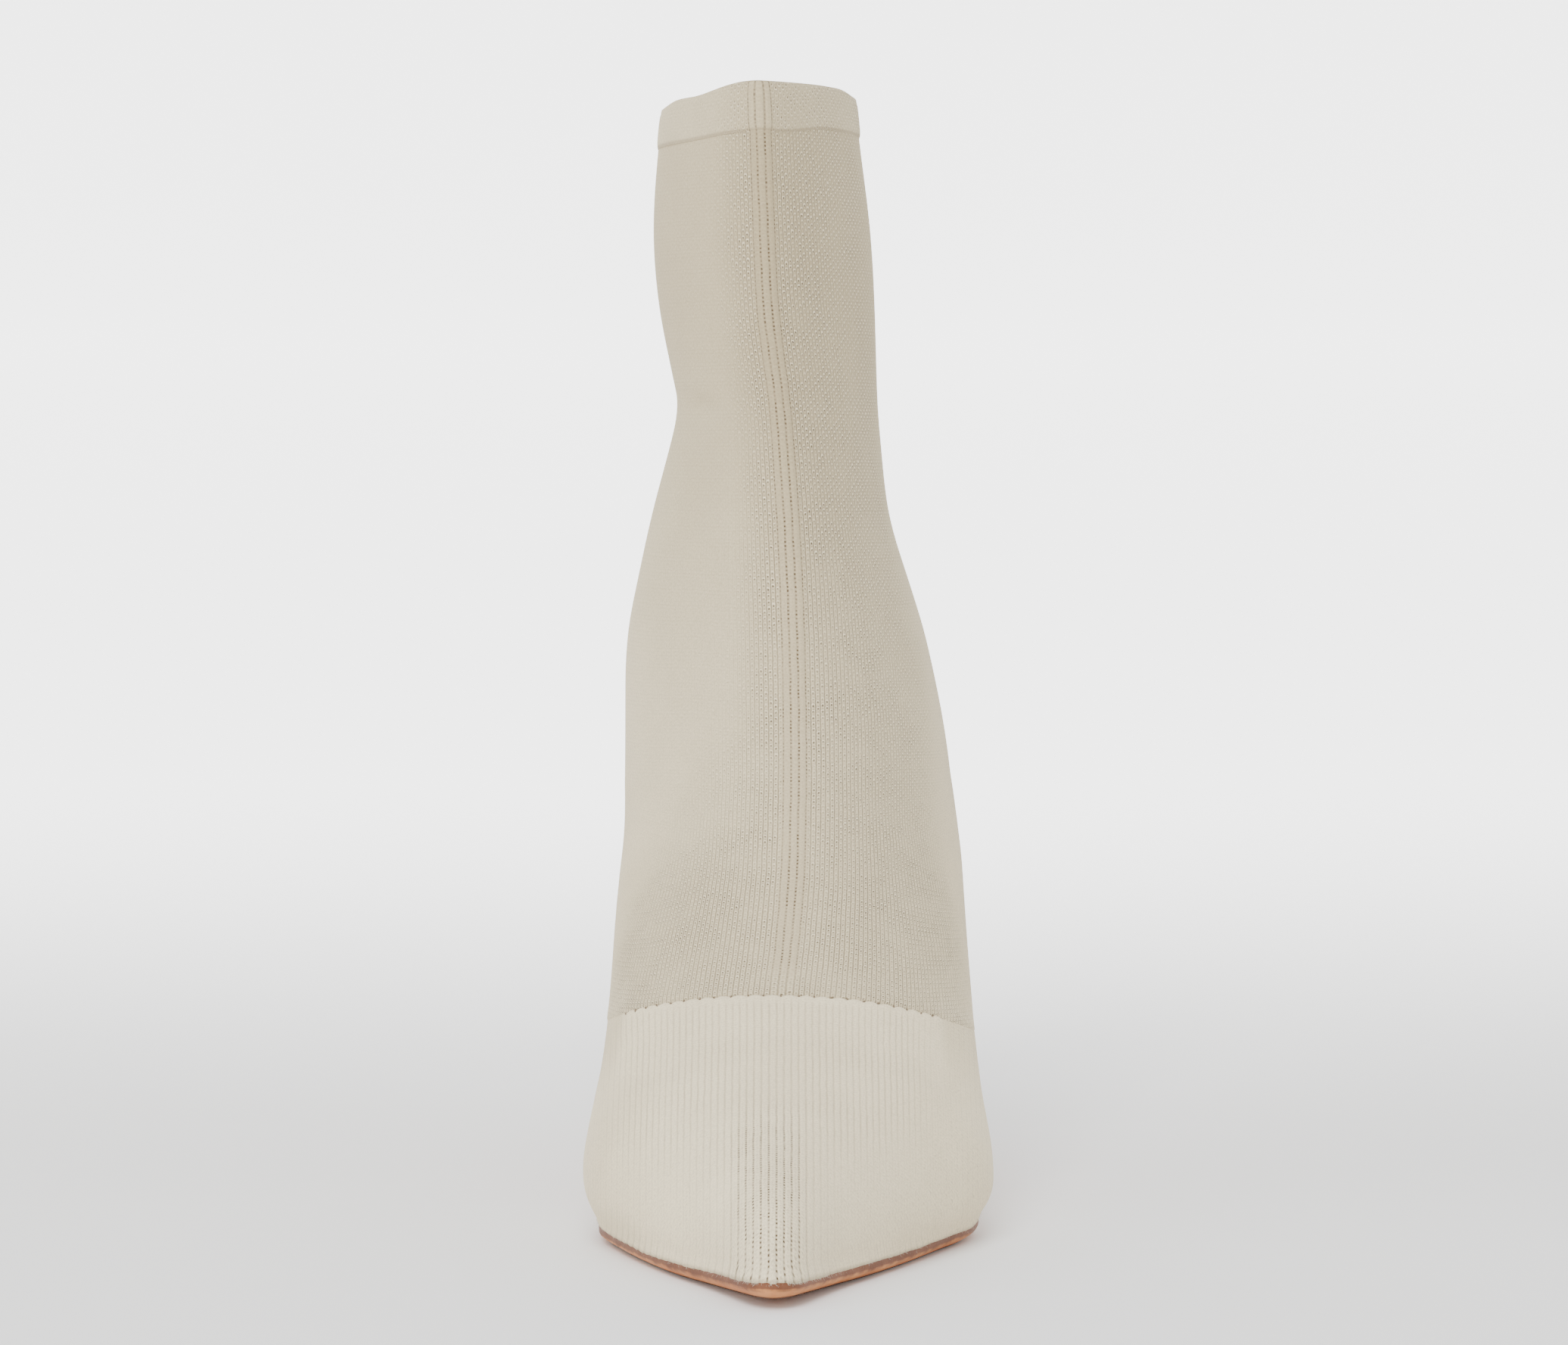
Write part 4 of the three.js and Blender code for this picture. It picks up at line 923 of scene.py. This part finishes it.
# The leather's tan, made brighter low on the edge as a painted highlight, and a darker brown high on it as
# painted shade under the knit.
tan = blended(tree, mottled, (0.50, 0.18, 0.062, 1), (0.60, 0.26, 0.10, 1))
overhang_shade_brown = blended(tree, mottled, (0.135, 0.05, 0.025, 1), (0.19, 0.075, 0.038, 1))
tint = blended(tree, faded(tree, ragged_zone, 1.75, 2.35), overhang_shade_brown, tan)
dark_line = times(tree, faded(tree, zone, 2.7, 2.9), faded(tree, zone, 3.2, 3.08))
tint = blended(tree, times(tree, dark_line, 0.85), tint, (0.025, 0.011, 0.006, 1))
scuffed = times(tree, faded(tree, blotches(tree, 22.0), 0.42, 0.8), faded(tree, zone, 3.3, 3.6))
tint = blended(tree, times(tree, scuffed, 0.4), tint, (0.33, 0.17, 0.09, 1))
tint = blended(tree, times(tree, faded(tree, pores, 0.6, 0.72), 0.35), tint, (0.25, 0.11, 0.05, 1))
tree.links.new(tint, shader.inputs["Base Color"])
bumped(tree, shader, pores, 0.06)

outer_profile = [
    # share across, edge, share of the depth, zone of the edge's painted shade, painted highlight and dark
    # line
    (1, SOLE_EDGE - 0.3, 0.0, 0.6), (1, SOLE_EDGE - 0.06, 0.05, 0.9), (1, SOLE_EDGE, 0.12, 1.0),
    (1, SOLE_EDGE, 0.42, 2.0), (1, SOLE_EDGE - 0.2, 0.52, 2.1), (1, SOLE_EDGE - 1.1, 0.7, 2.45),
    (1, SOLE_EDGE - 2.1, 0.87, 2.75), (1, SOLE_EDGE - 2.65, 0.95, 2.95),
    (1, SOLE_EDGE - SOLE_BEVEL, 1.0, 3.1),
]
sole_profile = np.array([
    *[(share, SOLE_EDGE - 0.5, 0, 0) for share in np.linspace(-1, 1, 9)],
    *outer_profile,
    *[(share, SOLE_EDGE - SOLE_BEVEL - 0.2, 1, 4) for share in np.linspace(1, -1, 17)],
    *[(-1, *rest) for _, *rest in outer_profile[::-1]],
])


def sole_thickness(ahead):
    """Thin through the arch, and thickening by a smooth step to the tread."""
    return WAIST_THICKNESS + (SOLE_THICKNESS - WAIST_THICKNESS) * eased(ahead, 0.47 * LENGTH, TREAD_START)


points = plate_points(np.linspace(turn(BREAST), np.pi, 260), sole_profile, FIT_GAP, sole_thickness)
sole_uv = np.stack([lengths(points, 0), sole_profile[:, 3] + 0 * points[..., 0]], axis=-1)
outsole = loop_mesh("leather_outsole", points, ["first"], sole_uv, {})
outsole.data.materials.append(sole_leather)
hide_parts("outsole")
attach(outsole, "root")

# The heel: a slim stem cut from wood or plastic, covered in the same cream knit, drawn tight and cemented. It
# is nailed up into the seat from inside, under the sock lining.
HEEL_TIP_WIDTH = 11
HEEL_TIP_LENGTH = 12
TOP_PIECE_HEIGHT = 6
BREAST_HOLLOW = 2
TIP_BACK = 0.0813 * LENGTH
# Outline of the heel from its seat to its tip: each share is 1 at the seat and 0 at the tip.
HEEL_RINGS = np.array([
    # down, back, front, width, hollow
    (0.0, 1.0, 1.0, 1.0, 0.0),
    (0.05, 0.97, 0.87, 0.955, 0.2),
    (0.12, 0.87, 0.63, 0.82, 0.6),
    (0.22, 0.67, 0.32, 0.59, 1.0),
    (0.34, 0.44, 0.08, 0.35, 0.8),
    (0.48, 0.24, -0.07, 0.18, 0.4),
    (0.64, 0.11, -0.1, 0.08, 0.15),
    (0.82, 0.03, -0.06, 0.02, 0.0),
    (1.0, 0.0, 0.0, 0.0, 0.0),
])
BACK_PLACES, BREAST_PLACES = 73, 25


def tip_outline(edge):
    """The heel's tip in plan: half an oval round the back and a slightly bowed front, moved out by edge."""
    half, length = HEEL_TIP_WIDTH / 2 + edge, HEEL_TIP_LENGTH + 2 * edge
    bend = np.linspace(-np.pi / 2, np.pi / 2, BACK_PLACES)
    across = np.arange(1, BREAST_PLACES + 1) / (BREAST_PLACES + 1)
    x = np.concatenate([half * np.sin(bend), half * (1 - 2 * across)])
    ahead = np.concatenate([0.8 * (1 - np.cos(bend)), 0.8 + 0.2 * np.sqrt(np.sin(np.pi * across))])
    return x, TIP_BACK - edge + length * ahead


breast_angle = turn(BREAST - FIT_GAP)
share = np.linspace(-1, 1, BACK_PLACES)
seat_x, seat_ahead = edge_line(np.abs(share) * breast_angle, np.where(share < 0, -1, 1), SOLE_EDGE)
seat_x[BACK_PLACES // 2], seat_ahead[BACK_PLACES // 2] = outline_middle(0), SEAT_BACK - SOLE_EDGE
across = np.arange(1, BREAST_PLACES + 1) / (BREAST_PLACES + 1)
seat_x = np.concatenate([seat_x, seat_x[-1] + (seat_x[0] - seat_x[-1]) * across])
seat_ahead = np.concatenate([seat_ahead, seat_ahead[-1] + (seat_ahead[0] - seat_ahead[-1]) * across])
down = np.concatenate([[0, 0.004], np.linspace(0.015, 0.985, 90), [0.996, 1]])[:, None]
back, front, width, hollow = (through(HEEL_RINGS[:, 0], HEEL_RINGS[:, k])(down) for k in (1, 2, 3, 4))
tip_x, tip_ahead = tip_outline(0)
forward = (seat_ahead - SEAT_BACK + SOLE_EDGE) / (BREAST - SEAT_BACK + SOLE_EDGE)
on_breast = np.concatenate([np.zeros(BACK_PLACES), np.sin(np.pi * across)])
x = tip_x + (seat_x - tip_x) * width
ahead = tip_ahead + (seat_ahead - tip_ahead) * (back + (front - back) * forward)
ahead = ahead - hollow * BREAST_HOLLOW * on_breast
top = footbed(seat_ahead) - FIT_GAP
level = top + (TOP_PIECE_HEIGHT + FIT_GAP - top) * down
points = placed(x, ahead, level)
heel_uv = np.stack([lengths(points, 1), lengths(points, 0)], axis=-1) / 0.9
heel_fields = {"open": 0.3, "ribbed": 0.35, "pierced": 0, "light": 0.4, "tone_and_shade": 0}
heel = loop_mesh("covered_heel", points[:, ::-1], ["first", "last"], heel_uv[:, ::-1], heel_fields)
heel.data.materials.append(cream_knit)
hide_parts("heel")
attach(heel, "root")

# The top piece: a block of dark rubber, pinned to the tip of the heel, with a ground edge and a level face
# that stands on the floor.
TOP_PIECE_EDGE = 0.3
rubber, tree, shader = blank_material("top_piece_rubber", Roughness=0.72, Specular_IOR_Level=0.4)
grit = blotches(tree, 0.3, 3.0)
dusty = faded(tree, blotches(tree, 4.0), 0.4, 0.75)
tint = blended(tree, dusty, (0.035, 0.026, 0.021, 1), (0.065, 0.052, 0.043, 1))
tint = blended(tree, faded(tree, grit, 0.6, 0.75), tint, (0.1, 0.085, 0.07, 1))
tree.links.new(tint, shader.inputs["Base Color"])
bumped(tree, shader, grit, 0.05)
piece_profile = np.array([
    # level, edge
    (TOP_PIECE_HEIGHT, 0.06), (TOP_PIECE_HEIGHT - 0.15, 0.24), (TOP_PIECE_HEIGHT - 0.4, TOP_PIECE_EDGE),
    (TOP_PIECE_HEIGHT - 1, TOP_PIECE_EDGE), (3.0, TOP_PIECE_EDGE), (0.6, TOP_PIECE_EDGE), (0.18, 0.22),
    (0.0, -0.05),
])
ring_size = BACK_PLACES + BREAST_PLACES
rings = [placed(*tip_outline(edge), np.full(ring_size, level)) for level, edge in piece_profile]
points = np.array(rings)[:, ::-1]
piece_uv = np.stack([lengths(points, 1), lengths(points, 0)], axis=-1)
top_piece = loop_mesh("rubber_top_piece", points, ["first", "last"], piece_uv, {})
top_piece.data.materials.append(rubber)
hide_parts("top_piece")
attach(top_piece, "root")

# The studio: a wide pale sweep, seamless up the back, lit by large soft lights from above and both sides.
# The sweep itself also glows, as painted light from a surface that is no lamp.
sweep_material, tree, shader = blank_material("glowing_pale_sweep", Roughness=0.9)
uneven = faded(tree, blotches(tree, 220.0), 0.3, 0.7)
tint = blended(tree, uneven, (0.86, 0.86, 0.855, 1), (0.875, 0.875, 0.87, 1))
tree.links.new(tint, shader.inputs["Base Color"])
shader.inputs["Emission Color"].default_value = (1, 1, 1, 1)
distance = node(tree, "SeparateXYZ", {0: node(tree, "TexCoord", {}, out=3)}, out=1)
# Painted light: the glow rises from nothing in front of the boot to full about a metre behind it.
glow = times(tree, faded(tree, distance, 0.05, 0.9), 2.6)
tree.links.new(glow, shader.inputs["Emission Strength"])
# In metres: level from 6 in front of the boot, then a quarter of a circle, then upright.
SWEEP_HALF_WIDTH = 6
SWEEP_FRONT = -6
BEND_RADIUS = 1.6
BEND_START, BEND_END = 0.62, 0.76
place = np.linspace(0, 1, 61)[:, None]
aside = np.linspace(-1, 1, 3)[None, :]
bend = np.clip((place - BEND_START) / (BEND_END - BEND_START), 0, 1) * np.pi / 2
depth = SWEEP_FRONT + 16 * np.minimum(place, BEND_START) + BEND_RADIUS * np.sin(bend)
rise = BEND_RADIUS * (1 - np.cos(bend)) + 12 * np.maximum(place - BEND_END, 0)
corners = np.stack([SWEEP_HALF_WIDTH * aside + 0 * depth, depth + 0 * aside, rise + 0 * aside], axis=-1)
quads = grid_quads(np.arange(61 * 3).reshape(61, 3))[:, ::-1]
sweep_mesh = bpy.data.meshes.new("studio_sweep")
sweep_mesh.from_pydata(corners.reshape(-1, 3).tolist(), [], quads.tolist())
sweep_mesh.shade_smooth()
sweep = bpy.data.objects.new("studio_sweep", sweep_mesh)
bpy.context.scene.collection.objects.link(sweep)
sweep.data.materials.append(sweep_material)

world = bpy.data.worlds.new("studio_air")
world.use_nodes = True
world.node_tree.nodes["Background"].inputs["Color"].default_value = (1, 1, 1, 1)
world.node_tree.nodes["Background"].inputs["Strength"].default_value = 1.0
bpy.context.scene.world = world


def soft_light(name, place, aim, size, power):
    """A large square light at a place in metres, turned to what it lights."""
    lamp = bpy.data.lights.new(name, "AREA")
    lamp.size = size
    lamp.energy = power
    made = bpy.data.objects.new(name, lamp)
    made.location = place
    made.rotation_mode = "QUATERNION"
    made.rotation_quaternion = (Vector(aim) - Vector(place)).to_track_quat("-Z", "Y")
    bpy.context.scene.collection.objects.link(made)


soft_light("overhead", (-0.4, -2.3, 2.3), (0, -0.05, 0.08), 1.5, 105)
soft_light("left_of_camera", (-1.3, -1.0, 0.35), (0, 0, 0.12), 0.9, 10)
soft_light("right_of_camera", (1.4, -0.8, 0.35), (0, 0, 0.12), 0.9, 4)

# The camera stands in front of the toe with the leg behind it, a little above the collar and looking slightly
# down, through a long lens.
lens = bpy.data.cameras.new("front_view")
lens.lens = 177.29
lens.sensor_width = 36
lens.clip_end = 30
camera = bpy.data.objects.new("front_view", lens)
camera.rotation_mode = "XYZ"
camera.location = (-0.00097, -1.6204, 0.2629)
camera.rotation_euler = (np.radians(90 - 5.2), 0, 0)
bpy.context.scene.collection.objects.link(camera)
bpy.context.scene.camera = camera
